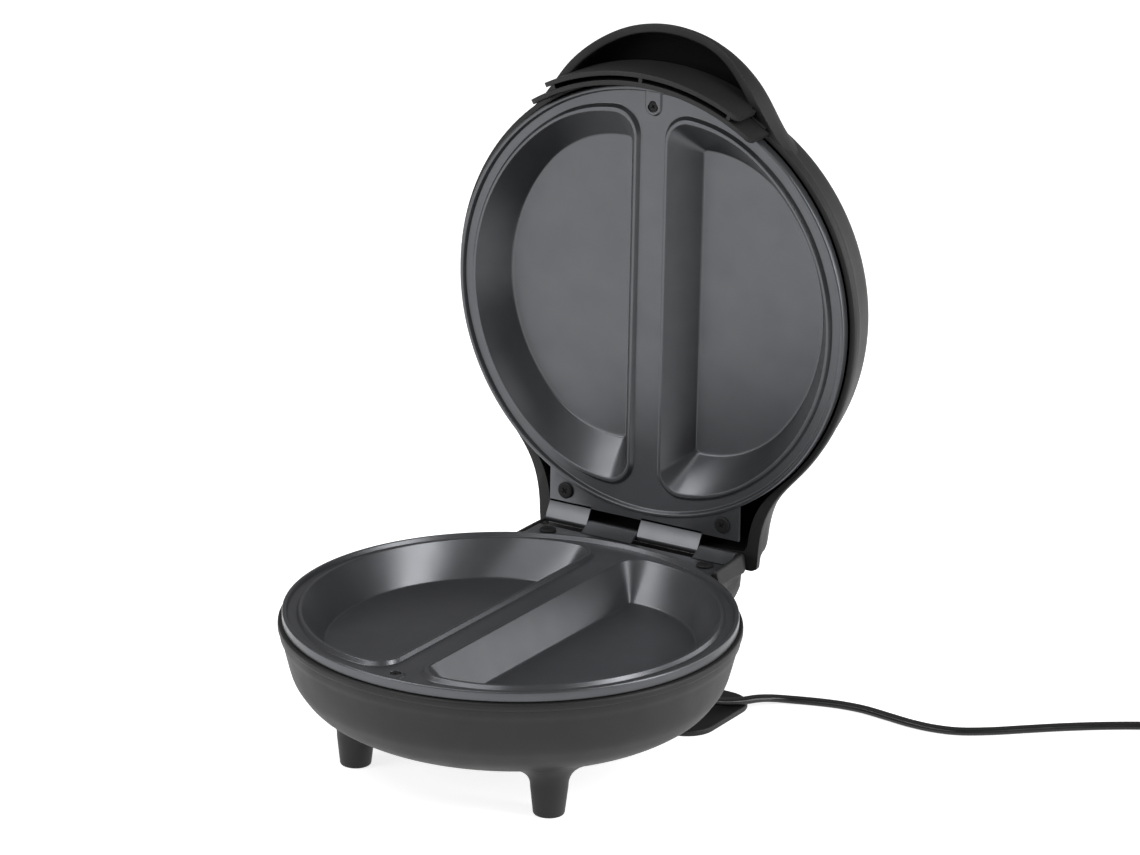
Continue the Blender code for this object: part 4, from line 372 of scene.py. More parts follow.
def eased(corners, steps=4):
    """Points along straight runs, with each inner corner rounded by its own radius."""
    points = []
    last = len(corners) - 1
    for index, (u, v, radius) in enumerate(corners):
        here = Vector((u, v))
        if not radius or index in (0, last):
            points.append(here)
            continue
        before = Vector(corners[index - 1][:2]) - here
        after = Vector(corners[index + 1][:2]) - here
        limit = 0.49 * min(before.length, after.length)
        half = before.angle(after) / 2
        reach = min(radius / math.tan(half), limit)
        start = here + before.normalized() * reach
        end = here + after.normalized() * reach
        for step in range(steps + 1):
            t = step / steps
            points.append(start * (1 - t) ** 2 + here * 2 * t * (1 - t) + end * t * t)
    return points


def polar(radius, degrees):
    angle = math.radians(degrees)
    return radius * math.cos(angle), radius * math.sin(angle)


def circle(radius, height, segments, centre=(0.0, 0.0)):
    """Points evenly round a level circle."""
    points = []
    for step in range(segments):
        x, y = polar(radius, 360.0 * step / segments)
        points.append((centre[0] + x, centre[1] + y, height))
    return points


def vertex_rows(bm, rings):
    return [[bm.verts.new(point) for point in ring] for ring in rings]


def stitch(bm, rows):
    """Faces between each closed row of vertices and the next."""
    for lower, upper in zip(rows, rows[1:]):
        for index in range(len(lower)):
            after = (index + 1) % len(lower)
            bm.faces.new((lower[index], lower[after], upper[after], upper[index]))


def add_rows(bm, rings):
    """A closed skin over rings of points of equal count."""
    rows = vertex_rows(bm, rings)
    stitch(bm, rows)
    bm.faces.new(rows[0])
    bm.faces.new(rows[-1])


def add_sleeve(bm, rings):
    """A skin over rings of points whose last ring joins the first."""
    rows = vertex_rows(bm, rings)
    stitch(bm, rows + rows[:1])


def row_edges(bm, row):
    edges = []
    for index in range(len(row)):
        pair = (row[index], row[(index + 1) % len(row)])
        edges.append(bm.edges.get(pair) or bm.edges.new(pair))
    return edges


def link(name, data):
    item = bpy.data.objects.new(name, data)
    bpy.context.scene.collection.objects.link(item)
    return item


def new_object(name, bm, matrix=Matrix()):
    """Turn a bmesh into an object of the scene."""
    bmesh.ops.recalc_face_normals(bm, faces=bm.faces)
    mesh = bpy.data.meshes.new(name)
    bm.to_mesh(mesh)
    bm.free()
    mesh.transform(matrix)
    return link(name, mesh)


def smooth(mesh, degrees=SHARP_DEGREES):
    mesh.shade_smooth()
    mesh.set_sharp_from_angle(angle=math.radians(degrees))


def finish(name, bm, lid, material, matrix=None):
    """Turn a bmesh into a named piece that rides on a body, placed in its half's own measure
    where no other matrix is given."""
    body = "lid" if lid else "base"
    piece = new_object(name, bm, pivot_matrix(lid) if matrix is None else matrix)
    smooth(piece.data)
    piece.data.materials.append(material)
    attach(piece, body)
    return piece


def carve(piece, tool):
    """Cut a tool's shape out of a piece for good, and remove the tool."""
    modifier = piece.modifiers.new("cut", "BOOLEAN")
    modifier.operation = "DIFFERENCE"
    modifier.solver = "EXACT"
    modifier.use_self = True
    modifier.object = tool
    bpy.context.view_layer.update()
    graph = bpy.context.evaluated_depsgraph_get()
    mesh = bpy.data.meshes.new_from_object(piece.evaluated_get(graph))
    piece.modifiers.clear()
    piece.data = mesh
    smooth(mesh)
    bpy.data.objects.remove(tool)


def side_word(side, lid):
    """The side as the user sees it: the lid's own X runs the other way."""
    return "right" if (side > 0) != lid else "left"


def soft_max(first, second, blend):
    """The larger of two lengths, with a soft passage where they are near each other."""
    mix = max(blend - abs(first - second), 0.0) / blend
    return max(first, second) + mix * mix * blend / 4


def soft_min(first, second, blend):
    return -soft_max(-first, -second, blend)


def along(shares, share):
    """The values of a table at a share between its rows."""
    for low, high in zip(shares, shares[1:]):
        if share <= high[0]:
            mix = max((share - low[0]) / (high[0] - low[0]), 0.0)
            return [a + (b - a) * mix for a, b in zip(low[1:], high[1:])]
    return list(shares[-1][1:])


def smooth_path(route, steps):
    """Points on a smooth curve through the points of a route."""
    ends = [2 * route[0] - route[1]] + list(route) + [2 * route[-1] - route[-2]]
    points = []
    for index in range(1, len(ends) - 2):
        before, start, end, after = ends[index - 1:index + 3]
        for step in range(steps):
            share = step / steps
            points.append(0.5 * (
                2 * start
                + (end - before) * share
                + (2 * before - 5 * start + 4 * end - after) * share ** 2
                + (3 * start - before - 3 * end + after) * share ** 3
            ))
    points.append(route[-1].copy())
    return points


# Finishes

# By the name of the slot: colour, roughness and metallic share, then the scale, strength
# and distance of the bump, and the scale and the ends of the roughness's drift
FINISH_TABLE = (
    ("coated_plate", (0.106, 0.109, 0.116), 0.31, 0.72, (2600.0, 0.10, 0.0001), (90.0, 0.29, 0.33)),
    ("black_moulding", (0.011, 0.011, 0.011), 0.50, 0.0, (2200.0, 0.18, 0.0001), (70.0, 0.50, 0.56)),
    ("black_screw", (0.008, 0.008, 0.009), 0.60, 0.0, (1800.0, 0.2, 0.0001), None),
    ("bright_steel", (0.56, 0.57, 0.59), 0.30, 1.0, None, (200.0, 0.26, 0.36)),
    ("bare_aluminium", (0.60, 0.61, 0.62), 0.38, 1.0, (900.0, 0.15, 0.0001, (1.0, 12.0, 1.0)), None),
    ("element_sheath", (0.16, 0.15, 0.14), 0.45, 1.0, None, None),
    ("white_ceramic", (0.74, 0.72, 0.67), 0.50, 0.0, (1500.0, 0.1, 0.0001), None),
    ("cord_sheath", (0.008, 0.008, 0.0085), 0.26, 0.0, (900.0, 0.12, 0.0001), (150.0, 0.27, 0.36)),
    ("wire_sleeve", (0.62, 0.60, 0.55), 0.60, 0.0, (3000.0, 0.4, 0.0002), None),
    ("red_lens", (0.55, 0.02, 0.015), 0.15, 0.0, None, (300.0, 0.12, 0.2)),
    ("green_lens", (0.02, 0.36, 0.06), 0.15, 0.0, None, (300.0, 0.12, 0.2)),
    ("lamp_glass", (0.80, 0.78, 0.74), 0.12, 0.0, None, (300.0, 0.1, 0.18)),
    ("brass", (0.76, 0.62, 0.34), 0.28, 1.0, None, (300.0, 0.24, 0.36)),
)
COLOUR_DRIFTS = (
    ("coated_plate", 60.0, (0.101, 0.104, 0.111), (0.111, 0.114, 0.121)),
    ("element_sheath", 150.0, (0.12, 0.11, 0.10), (0.20, 0.18, 0.16)),
)
SPECULAR_LEVELS = (("black_moulding", 0.38), ("black_screw", 0.3))


def shader_of(material):
    return material.node_tree.nodes["Principled BSDF"]


def new_material(name, colour, roughness, metallic=0.0):
    material = bpy.data.materials.new(name)
    material.use_nodes = True
    shader = shader_of(material)
    shader.inputs["Base Color"].default_value = (*colour, 1.0)
    shader.inputs["Roughness"].default_value = roughness
    shader.inputs["Metallic"].default_value = metallic
    return material


def add_node(tree, kind, **inputs):
    """A shader node with some of its inputs set, an underscore standing for a space."""
    node = tree.nodes.new("ShaderNode" + kind)
    for socket, value in inputs.items():
        node.inputs[socket.replace("_", " ")].default_value = value
    return node


def wire(source, output, target, socket):
    source.id_data.links.new(source.outputs[output], target.inputs[socket])


def add_grain(material, scale, strength, distance, stretch=(1.0, 1.0, 1.0)):
    """A fine bump of noise in the piece's own measure."""
    tree = material.node_tree
    place = add_node(tree, "TexCoord")
    mapping = add_node(tree, "Mapping", Scale=stretch)
    noise = add_node(tree, "TexNoise", Scale=scale, Detail=2.0)
    bump = add_node(tree, "Bump", Strength=strength, Distance=distance)
    wire(place, "Object", mapping, "Vector")
    wire(mapping, "Vector", noise, "Vector")
    wire(noise, "Fac", bump, "Height")
    wire(bump, "Normal", shader_of(material), "Normal")


def vary(material, socket, scale, low, high):
    """Let a number or a colour drift a little over the surface."""
    tree = material.node_tree
    place = add_node(tree, "TexCoord")
    noise = add_node(tree, "TexNoise", Scale=scale, Detail=3.0)
    wire(place, "Object", noise, "Vector")
    if isinstance(low, tuple):
        ramp = add_node(tree, "ValToRGB")
        for stop, position, colour in zip(ramp.color_ramp.elements, (0.3, 0.7), (low, high)):
            stop.position = position
            stop.color = (*colour, 1.0)
        wire(noise, "Fac", ramp, "Fac")
        wire(ramp, "Color", shader_of(material), socket)
        return
    span = add_node(tree, "MapRange", From_Min=0.3, From_Max=0.7, To_Min=low, To_Max=high)
    wire(noise, "Fac", span, "Value")
    wire(span, "Result", shader_of(material), socket)


def make_finishes():
    """Every finish by the name of its slot."""
    finishes = {}
    for name, colour, roughness, metallic, grain, drift in FINISH_TABLE:
        finishes[name] = new_material(name, colour, roughness, metallic)
        if drift:
            vary(finishes[name], "Roughness", *drift)
        if grain:
            add_grain(finishes[name], *grain)
    for name, scale, low, high in COLOUR_DRIFTS:
        vary(finishes[name], "Base Color", scale, low, high)
    for name, level in SPECULAR_LEVELS:
        shader_of(finishes[name]).inputs["Specular IOR Level"].default_value = level
    return finishes


FINISHES = make_finishes()


def dress_frame():
    """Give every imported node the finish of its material."""
    for node in frame["nodes"].values():
        for slot in node.material_slots:
            key = slot.material.name.split(".")[0]
            if key in FINISHES:
                slot.material = FINISHES[key]


# Cooking plates

def on_arc(x, y, radius, angle):
    return x + radius * math.cos(angle), y + radius * math.sin(angle)


def pocket_outline(inset):
    """The half-moon outline of the pocket at +X, drawn in from its bead crest."""
    arc = POCKET_CREST_RADIUS - inset
    line = DIVIDER_HALF + inset
    corner = POCKET_CORNER - CORNER_DRAW_SHARE * inset
    turn = math.radians(SHOULDER_DEGREES - SHOULDER_TURN_DEGREES * inset / WALL_RUN)
    shoulder = SHOULDER_RADIUS - SHOULDER_DRAW_SHARE * inset
    hub_x = (arc - shoulder) * math.cos(turn)
    hub_y = (arc - shoulder) * math.sin(turn)
    centre_x = line + corner
    centre_y = hub_y + math.sqrt((shoulder - corner) ** 2 - (centre_x - hub_x) ** 2)
    bearing = math.atan2(centre_y - hub_y, centre_x - hub_x)
    bends = ARC_STEPS // 4
    half = ARC_STEPS // 2 - bends
    points = []
    for step in range(bends):
        angle = -bearing + (bearing - turn) * step / bends
        points.append(on_arc(hub_x, -hub_y, shoulder, angle))
    for step in range(2 * half + 1):
        angle = turn * (step / half - 1)
        points.append(on_arc(0.0, 0.0, arc, angle))
    for step in range(1, bends + 1):
        angle = turn + (bearing - turn) * step / bends
        points.append(on_arc(hub_x, hub_y, shoulder, angle))
    for step in range(1, CORNER_STEPS + 1):
        angle = bearing + (math.pi - bearing) * step / CORNER_STEPS
        points.append(on_arc(centre_x, centre_y, corner, angle))
    for step in range(1, LINE_STEPS + 1):
        points.append((line, centre_y * (1 - 2 * step / LINE_STEPS)))
    for step in range(1, CORNER_STEPS):
        angle = math.pi + (math.pi - bearing) * step / CORNER_STEPS
        points.append(on_arc(centre_x, -centre_y, corner, angle))
    return points


def pocket_profile():
    """Inset and height of the food side, from the web over the bead to the floor."""
    low = -WEB_DEPTH
    deep = -POCKET_DEPTH
    return eased((
        (-BEAD_HALF - 2 * MARGIN, low, 0.0), (-BEAD_HALF, low, EDGE_ROUND),
        (-BEAD_HALF * 0.36, 0.0, EDGE_ROUND), (BEAD_HALF * 0.34, 0.0, BEAD_ROUND),
        (WALL_RUN, deep, FLOOR_ROUND), (WALL_RUN + FLOOR_RUN, deep, 0.0),
    ), 6)


def pocket_under_profile():
    """Inset and height of the pocket's outside, from the web to the floor."""
    return [
        Vector((BEAD_HALF * 0.7 - SHEET, -WEB_DEPTH - SHEET)),
        Vector((WALL_RUN - SHEET / 2, -POCKET_DEPTH - SHEET)),
        Vector((WALL_RUN + SHEET, -POCKET_DEPTH - SHEET)),
    ]


def rim_profile():
    """Radius and height of the rim, from the web's edge over the crest to the underside."""
    low = -WEB_DEPTH
    foot = RIM_CREST_RADIUS - RIM_FOOT_INSET
    return eased((
        (foot - 2 * MARGIN, low, 0.0), (foot, low, EDGE_ROUND),
        (RIM_CREST_RADIUS - RIM_CREST_INSET, 0.0, EDGE_ROUND), (SKIRT_RADIUS, -HAIR, RIM_ROUND),
        (SKIRT_RADIUS, -SKIRT_DEPTH, FINE_ROUND), (SKIRT_RADIUS - SKIRT_WALL, -SKIRT_DEPTH, FINE_ROUND),
        (SKIRT_RADIUS - SKIRT_WALL, -WEB_DEPTH - SHEET, 0.0),
    ))


def add_seat(bm):
    """The raised seat of the front screw, open to the rim, with the bore for the head."""
    far = -RIM_CREST_RADIUS + SEAT_END_INSET
    centre = Vector((0.0, FRONT_SCREW_Y))
    top = -WEB_DEPTH + SEAT_RISE
    buried = -WEB_DEPTH - MARGIN

    def outline(half):
        points = [Vector((half, far))]
        for step in range(SEAT_STEPS + 1):
            points.append(centre + Vector(polar(half, 180.0 * step / SEAT_STEPS)))
        points.append(Vector((-half, far)))
        for step in range(1, 8):
            points.append(Vector((half * (step / 4 - 1), far)))
        return points

    rings = []
    for half, height in eased((
        (SEAT_FOOT_HALF, buried, 0.0), (SEAT_FOOT_HALF, -WEB_DEPTH, FINEST_ROUND),
        (SEAT_HALF, top, EDGE_ROUND), (FRONT_HOLE_RADIUS + SEAT_LAND, top, 0.0),
    )):
        rings.append([(x, y, height) for x, y in outline(half)])
    ways = [(point - centre).normalized() for point in outline(SEAT_HALF)]
    for radius, height in eased((
        (FRONT_HOLE_RADIUS + MARGIN, top, 0.0), (FRONT_HOLE_RADIUS, top, FINE_ROUND),
        (FRONT_HOLE_RADIUS, buried, 0.0),
    )):
        rings.append([(*(centre + way * radius), height) for way in ways])
    add_sleeve(bm, rings)


def add_plate_disc(bm):
    """The round plate with its two pockets."""
    rim = vertex_rows(bm, [circle(*spot, PLATE_SEGMENTS) for spot in rim_profile()])
    stitch(bm, rim)
    for profile, outer in ((pocket_profile(), rim[0]), (pocket_under_profile(), rim[-1])):
        edges = row_edges(bm, outer)
        for side in (1, -1):
            rings = []
            for inset, height in profile:
                rings.append([(side * x, y, height) for x, y in pocket_outline(inset)])
            rows = vertex_rows(bm, rings)
            stitch(bm, rows)
            bm.faces.new(rows[-1])
            edges += row_edges(bm, rows[0])
        bmesh.ops.triangle_fill(bm, edges=edges, use_beauty=True)


def tab_outline():
    """The hinge tab: out from under the rim to a straight rear edge."""
    inner = RIM_CREST_RADIUS - TAB_TUCK
    start = math.degrees(math.acos(TAB_HALF / inner))
    arc = []
    for step in range(TAB_ARC_STEPS + 1):
        arc.append(polar(inner, start + (180.0 - 2 * start) * step / TAB_ARC_STEPS))
    return arc + [(-TAB_HALF, TAB_REAR), (TAB_HALF, TAB_REAR)]


def add_tab(bm):
    """The flat sheet behind the rim, with softly broken edges."""
    soft = TAB_SOFT
    outline = [Vector(point) for point in tab_outline()]
    rings = []
    for height, draw in (
        (TAB_TOP - TAB_SHEET, 0.0), (TAB_TOP - soft, 0.0),
        (TAB_TOP - soft * 0.3, soft * 0.3), (TAB_TOP, soft),
    ):
        rings.append([
            (x - math.copysign(draw, x) if abs(x) > TAB_HALF - soft else x, y, height)
            for x, y in outline
        ])
    add_rows(bm, rings)


def knuckle_outline():
    """One knuckle seen along the pin: a strip that climbs over the pin and curls round it."""
    centre = Vector((PIVOT_Y, HALF_GAP))
    outer = KNUCKLE_RADIUS
    inner = outer - TAB_SHEET
    start = Vector((TAB_REAR, TAB_TOP))
    reach = centre - start
    slant = math.atan2(reach.y, reach.x) + math.asin(outer / reach.length)
    first = math.degrees(slant) + 90.0
    over, under = [], []
    for step in range(KNUCKLE_STEPS + 1):
        x, y = polar(1.0, first + (KNUCKLE_CURL_DEGREES - first) * step / KNUCKLE_STEPS)
        over.append(centre + Vector((x, y)) * outer)
        under.append(centre + Vector((x, y)) * inner)
    lead = Vector((TAB_REAR - KNUCKLE_LEAD, TAB_TOP))
    below = [start + Vector((FINE_ROUND, -TAB_SHEET)), lead + Vector((0.0, -TAB_SHEET))]
    return [lead, start] + over + under[::-1] + below


def add_bar(bm, outline, start, end):
    """An outline in Y and Z drawn along X."""
    add_rows(bm, [[(x, y, z) for y, z in outline] for x in (start, end)])


def make_plate(name, lid, material):
    """A cooking plate with its front screw seat, hinge tab and knuckles."""
    bm = bmesh.new()
    add_plate_disc(bm)
    add_seat(bm)
    add_tab(bm)
    spans = list(zip(KNUCKLE_EDGES, KNUCKLE_EDGES[1:]))
    for start, end in spans[1::2] if not lid else [(-b, -a) for a, b in spans[0::2]]:
        add_bar(bm, knuckle_outline(), start + KNUCKLE_GAP, end - KNUCKLE_GAP)
    plate = finish(name + "_fine", bm, lid, material)
    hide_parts(name)


def screw_profile(radius, foot, top):
    """Radius and height of a pan head on its shank, from the tip up."""
    return eased((
        (SHANK_TIP_RADIUS, foot - SHANK_LENGTH, 0.0), (SHANK_RADIUS, foot - SHANK_STRAIGHT, FINE_ROUND),
        (SHANK_RADIUS, foot, FINEST_ROUND), (radius, foot, FINEST_ROUND),
        (radius, top - HEAD_EDGE, FINE_ROUND), (radius * 0.86, top, HEAD_ROUND),
        (radius * 0.55, top, 0.0),
    ))


def cross_recess(x, y, top, radius):
    """The cross cut into a screw's head: two bars that taper downward."""
    reach = radius * 0.5
    half = reach * 0.22
    bm = bmesh.new()
    for turn in RECESS_DEGREES:
        way = Vector(polar(reach, turn))
        across = Vector((-way.y, way.x)).normalized() * half
        corners = (way + across, -way + across, -way - across, way - across)
        rings = []
        for height, share in ((top - RECESS_DEPTH, 0.55), (top + MARGIN, 1.05)):
            rings.append([(x + c.x * share, y + c.y * share, height) for c in corners])
        add_rows(bm, rings)
    return bm


def make_screw_heads(prefix, lid):
    """The flat pan heads, each with a cross recess, on their shanks."""
    low = TAB_TOP + HEAD_LIFT
    rear = (REAR_SCREW_Y, low, low + REAR_HEAD_HEIGHT, REAR_HEAD_RADIUS)
    front = (FRONT_SCREW_Y, FRONT_HEAD_TOP - REAR_HEAD_HEIGHT, FRONT_HEAD_TOP, FRONT_HEAD_RADIUS)
    places = [(side * REAR_SCREW_X, *rear, side_word(side, lid)) for side in (1, -1)]
    places.append((0.0, *front, "front"))
    for x, y, foot, top, radius, word in places:
        bm = bmesh.new()
        add_rows(bm, [circle(*spot, SCREW_SEGMENTS, (x, y)) for spot in screw_profile(radius, foot, top)])
        piece = finish(f"{prefix}_{word}_screw_fine", bm, lid, FINISHES["black_screw"])
        carve(piece, new_object("tool", cross_recess(x, y, top, radius), pivot_matrix(lid)))
        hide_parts(f"{prefix}_screw_{word}")


# Moulded shells

def bearings():
    """Bearings round a shell, closest together where the neck leaves the circle."""
    half = [-90.0 + 2.5 * step for step in range(48)]
    half += [30.0 + 1.25 * step for step in range(48)]
    other = [180.0 - bearing for bearing in reversed(half[1:])]
    return half + [90.0] + other


def rim_radius(lid):
    return SHELL_RIM_RADIUS + (LID_RIM_EXTRA if lid else 0.0)


def shell_ring(depth, radius, shrink, neck, blend):
    """Points round a shell at a depth: its circle and its neck, softly joined."""
    half_share, rear_share = along(NECK_SHARES, depth / SHELL_DEPTH)
    half = neck[0] * half_share - shrink
    reach_rear = neck[1] * rear_share - shrink
    round_reach = radius - shrink
    points = []
    for bearing in bearings():
        angle = math.radians(bearing)
        cosine, sine = math.cos(angle), math.sin(angle)
        reach = round_reach
        if sine > 0.0:
            side = half / max(abs(cosine), half / (2 * neck[1]))
            tongue = soft_min(side, reach_rear / sine, NECK_CORNER_BLEND)
            reach = soft_max(round_reach, tongue, blend)
        points.append((reach * cosine, reach * sine, -depth))
    return points


def bowl_curve(lid):
    """Depth and radius down the outside of a shell, on a smooth curve."""
    rim = rim_radius(lid)
    body = rim - BEAD_PROUD
    route = [Vector((SHELL_TOP + BEAD_BAND, body))]
    route += [Vector((SHELL_DEPTH * a, rim * b)) for a, b in BOWL_SHARES]
    bead = eased((
        (SHELL_TOP, rim - SHELL_WALL, 0.0), (SHELL_TOP, rim, BEAD_TOP_ROUND),
        (SHELL_TOP + BEAD_BAND * 0.95, rim, BEAD_FOOT_ROUND),
        (SHELL_TOP + BEAD_BAND * 1.15, body, EDGE_ROUND),
        (SHELL_TOP + BEAD_BAND * 2.0, body - HAIR, 0.0),
    ))
    return bead + [point for point in smooth_path(route, 5) if point.x > SHELL_TOP + BEAD_BAND * 2.05]


def shell_rings(lid, shrink):
    """Rings of points down a shell's outside, or drawn in by a wall, its inside."""
    rings = []
    blend = LID_NECK_BLEND if lid else BASE_NECK_BLEND
    for depth, radius in bowl_curve(lid):
        half, rear = BASE_NECK_HALF, BASE_NECK_REAR
        if lid:
            step = min(max((depth - SHELL_TOP - BEAD_BAND * 0.95) / (BEAD_BAND * 0.4), 0.0), 1.0)
            half = LID_NECK_HALF - (LID_NECK_LIP * (1.0 - step) if shrink else 0.0)
            rear = LID_NECK_REAR - LID_NECK_STEP * (1.0 if shrink else step)
        place = min(depth, SHELL_DEPTH - shrink)
        rings.append(shell_ring(place, radius, shrink, (half, rear), blend))
        if place < depth:
            break
    return rings


def make_shell(name, lid, material):
    """A shell's skin, outside and inside, in one closed piece."""
    bm = bmesh.new()
    outside = shell_rings(lid, 0.0)
    inside = shell_rings(lid, SHELL_WALL)[6:]
    lift = [(x, y, -SHELL_TOP) for x, y, _ in inside[0]]
    share = SHELL_CAP_SHARE
    flat = [(x * share, y * share, z) for x, y, z in outside[-1]]
    inner_flat = [(x * share, y * share, z) for x, y, z in inside[-1]]
    add_rows(bm, [inner_flat] + inside[::-1] + [lift] + outside[1:] + [flat])
    return finish(name, bm, lid, material)


def bowl_depth_at(radius):
    """Depth of the shell's outside at a distance from its axis."""
    curve = bowl_curve(False)
    for upper, lower in zip(curve[12:], curve[13:]):
        if lower.y <= radius <= upper.y:
            mix = (upper.y - radius) / max(upper.y - lower.y, 1e-9)
            return upper.x + (lower.x - upper.x) * mix
    return SHELL_DEPTH


def make_leg(side, material):
    """A leg whose top flares into the bowl, with a rounded foot."""
    spot = (side * LEG_X, LEG_Y)
    centre = Vector(spot)
    waist = SHELL_DEPTH + LEG_WAIST_DROP
    rings = []
    for step in range(LEG_FILLET_STEPS + 1):
        t = step / LEG_FILLET_STEPS
        ring = []
        for index in range(LEG_SEGMENTS):
            way = Vector(polar(1.0, 360.0 * index / LEG_SEGMENTS))
            start = centre + way * LEG_FLARE_RADIUS
            under = centre + way * LEG_WAIST_RADIUS
            p0 = Vector((*start, -bowl_depth_at(start.length) + HAIR))
            p1 = Vector((*under, -bowl_depth_at(under.length) - MARGIN))
            p2 = Vector((*under, -waist))
            ring.append(p0 * (1 - t) ** 2 + p1 * 2 * t * (1 - t) + p2 * t * t)
        rings.append(ring)
    foot = eased((
        (LEG_WAIST_RADIUS, waist, 0.0), (LEG_FOOT_RADIUS, CREST_HEIGHT, LEG_FOOT_ROUND),
        (LEG_CORE_RADIUS, CREST_HEIGHT, 0.0),
    ), 6)
    rings += [circle(radius, -depth, LEG_SEGMENTS, spot) for radius, depth in foot[1:]]
    bm = bmesh.new()
    add_rows(bm, rings)
    return finish(f"leg_{side_word(side, False)}", bm, False, material)


def lip_depth(out):
    """The lip comes forward from the hood's middle to the bead at its sides."""
    bearing = math.degrees(math.acos(-out))
    aside = min(max((bearing - LIP_LEVEL_DEGREES) / LIP_RISE_DEGREES, 0.0), 1.0)
    return HOOD_LIP_DEPTH - (HOOD_LIP_DEPTH - HOOD_SIDE_DEPTH) * aside * aside * (3 - 2 * aside)


def hood_ring(start, share, end, shrink):
    """Points round the hood, a share of the way from a start past its lip to an end depth."""
    profile = [(0.0, rim_radius(True))] + [tuple(point) for point in bowl_curve(True)]
    points = []
    for step in range(HOOD_SEGMENTS):
        across, out = polar(1.0, 360.0 * step / HOOD_SEGMENTS)
        lip = lip_depth(out) + start
        depth = lip + (end - lip) * share
        drawn = max((depth - HOOD_LIP_DEPTH) / (HOOD_TOP_DEPTH - HOOD_LIP_DEPTH), 0.0)
        radius = HOOD_RADIUS - HOOD_DRAW * drawn ** 2
        shell = along(profile, depth)[0] - HOOD_SINK
        side = math.sqrt(shell ** 2 - (HOOD_CENTRE_Y * across) ** 2) - HOOD_CENTRE_Y * out
        reach = soft_max(radius, min(side, radius + HOOD_BLEND), HOOD_BLEND) - shrink
        points.append((across * reach, HOOD_CENTRE_Y + out * reach, -depth))
    return points


def make_hood(material):
    """The dome that shades the fingers: outer skin, rounded lip and hollow."""
    rings = [hood_ring(LIP_REACH, step / 16, HOOD_TOP_DEPTH, 0.0) for step in range(16, 0, -1)]
    for shrink, start in eased((
        (0.0, LIP_REACH, 0.0), (0.0, 0.0, LIP_ROUND),
        (HOOD_WALL, 0.0, LIP_ROUND), (HOOD_WALL, HOOD_VOID_START, 0.0),
    )):
        rings.append(hood_ring(start, 0.0, 0.0, shrink))
    for step in range(1, 13):
        shrink = HOOD_WALL + HOOD_VOID_DRAW * (step / 12) ** 3
        rings.append(hood_ring(HOOD_VOID_START, step / 12, HOOD_VOID_DEPTH, shrink))
    bm = bmesh.new()
    add_rows(bm, rings)
    hood = finish("hood_fine", bm, True, material)
    room = bmesh.new()
    add_rows(room, shell_rings(True, HOOD_CUT_SHRINK)[1:])
    carve(hood, new_object("tool", room, pivot_matrix(True)))


def arc_strip(bm, inner, outer, low, high, half_degrees, corner=0.0):
    """A strip that stands on an arc at the front, its two front corners rounded."""
    heights = [low]
    for step in range(9):
        heights.append(high - corner * (1 - math.sin(math.radians(80.0 * step / 8))))
    ease = FINE_ROUND
    rows = [(height, 0.0) for height in heights if height < high - ease]
    rows += [(high - ease, 0.0), (high, ease)]
    rings = []
    for height, draw in rows:
        over = max(height - (high - corner), 0.0)
        cutback = corner - math.sqrt(max(corner ** 2 - over ** 2, 0.0)) + draw
        half = half_degrees - math.degrees(cutback / inner)
        ring = []
        for radius, way in ((inner + draw, 1), (outer - draw, -1)):
            for step in range(APRON_SEGMENTS + 1):
                bearing = -90.0 + way * half * (2 * step / APRON_SEGMENTS - 1)
                x, y = polar(radius, bearing)
                ring.append((x, y, height))
        rings.append(ring)
    add_rows(bm, rings)


def make_apron(material):
    """The double-walled strip under the hood, with its ribs."""
    bm = bmesh.new()
    low = -HOOD_LIP_DEPTH + APRON_LIP_GAP
    near, far, strip = APRON_NEAR_RADIUS, APRON_FAR_RADIUS, APRON_STRIP
    arc_strip(bm, near, near + strip, -APRON_FRONT, APRON_REACH, APRON_INNER_DEGREES, APRON_CORNER)
    arc_strip(bm, far - strip, far, -APRON_FRONT, APRON_REACH, APRON_OUTER_DEGREES, APRON_CORNER)
    wall, base, draw = APRON_WALL, APRON_INNER_RADIUS, APRON_WALL_DRAW_DEGREES
    arc_strip(bm, base, base + wall, low, -APRON_FRONT + MARGIN, APRON_INNER_DEGREES - draw)
    arc_strip(bm, far - wall, far, low, -APRON_FRONT + MARGIN, APRON_OUTER_DEGREES - draw)
    half_degrees = APRON_OUTER_DEGREES - APRON_ROOT_DRAW_DEGREES
    arc_strip(bm, base + wall / 2, far - wall / 2, low, -APRON_ROOT_TOP, half_degrees)
    for bearing in (-APRON_RIB_DEGREES, 0.0, APRON_RIB_DEGREES):
        way = Vector(polar(1.0, -90.0 + bearing))
        across = Vector((-way.y, way.x)) * APRON_RIB_HALF
        inside = way * (near + strip - RIB_SINK)
        outside = way * (far - strip + RIB_SINK)
        corners = (inside + across, outside + across, outside - across, inside - across)
        add_rows(bm, [[(*c, height) for c in corners] for height in (-RIB_FOOT, APRON_REACH - RIB_SINK)])
    apron = finish("apron_fine", bm, True, material)
    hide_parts("grip_apron")


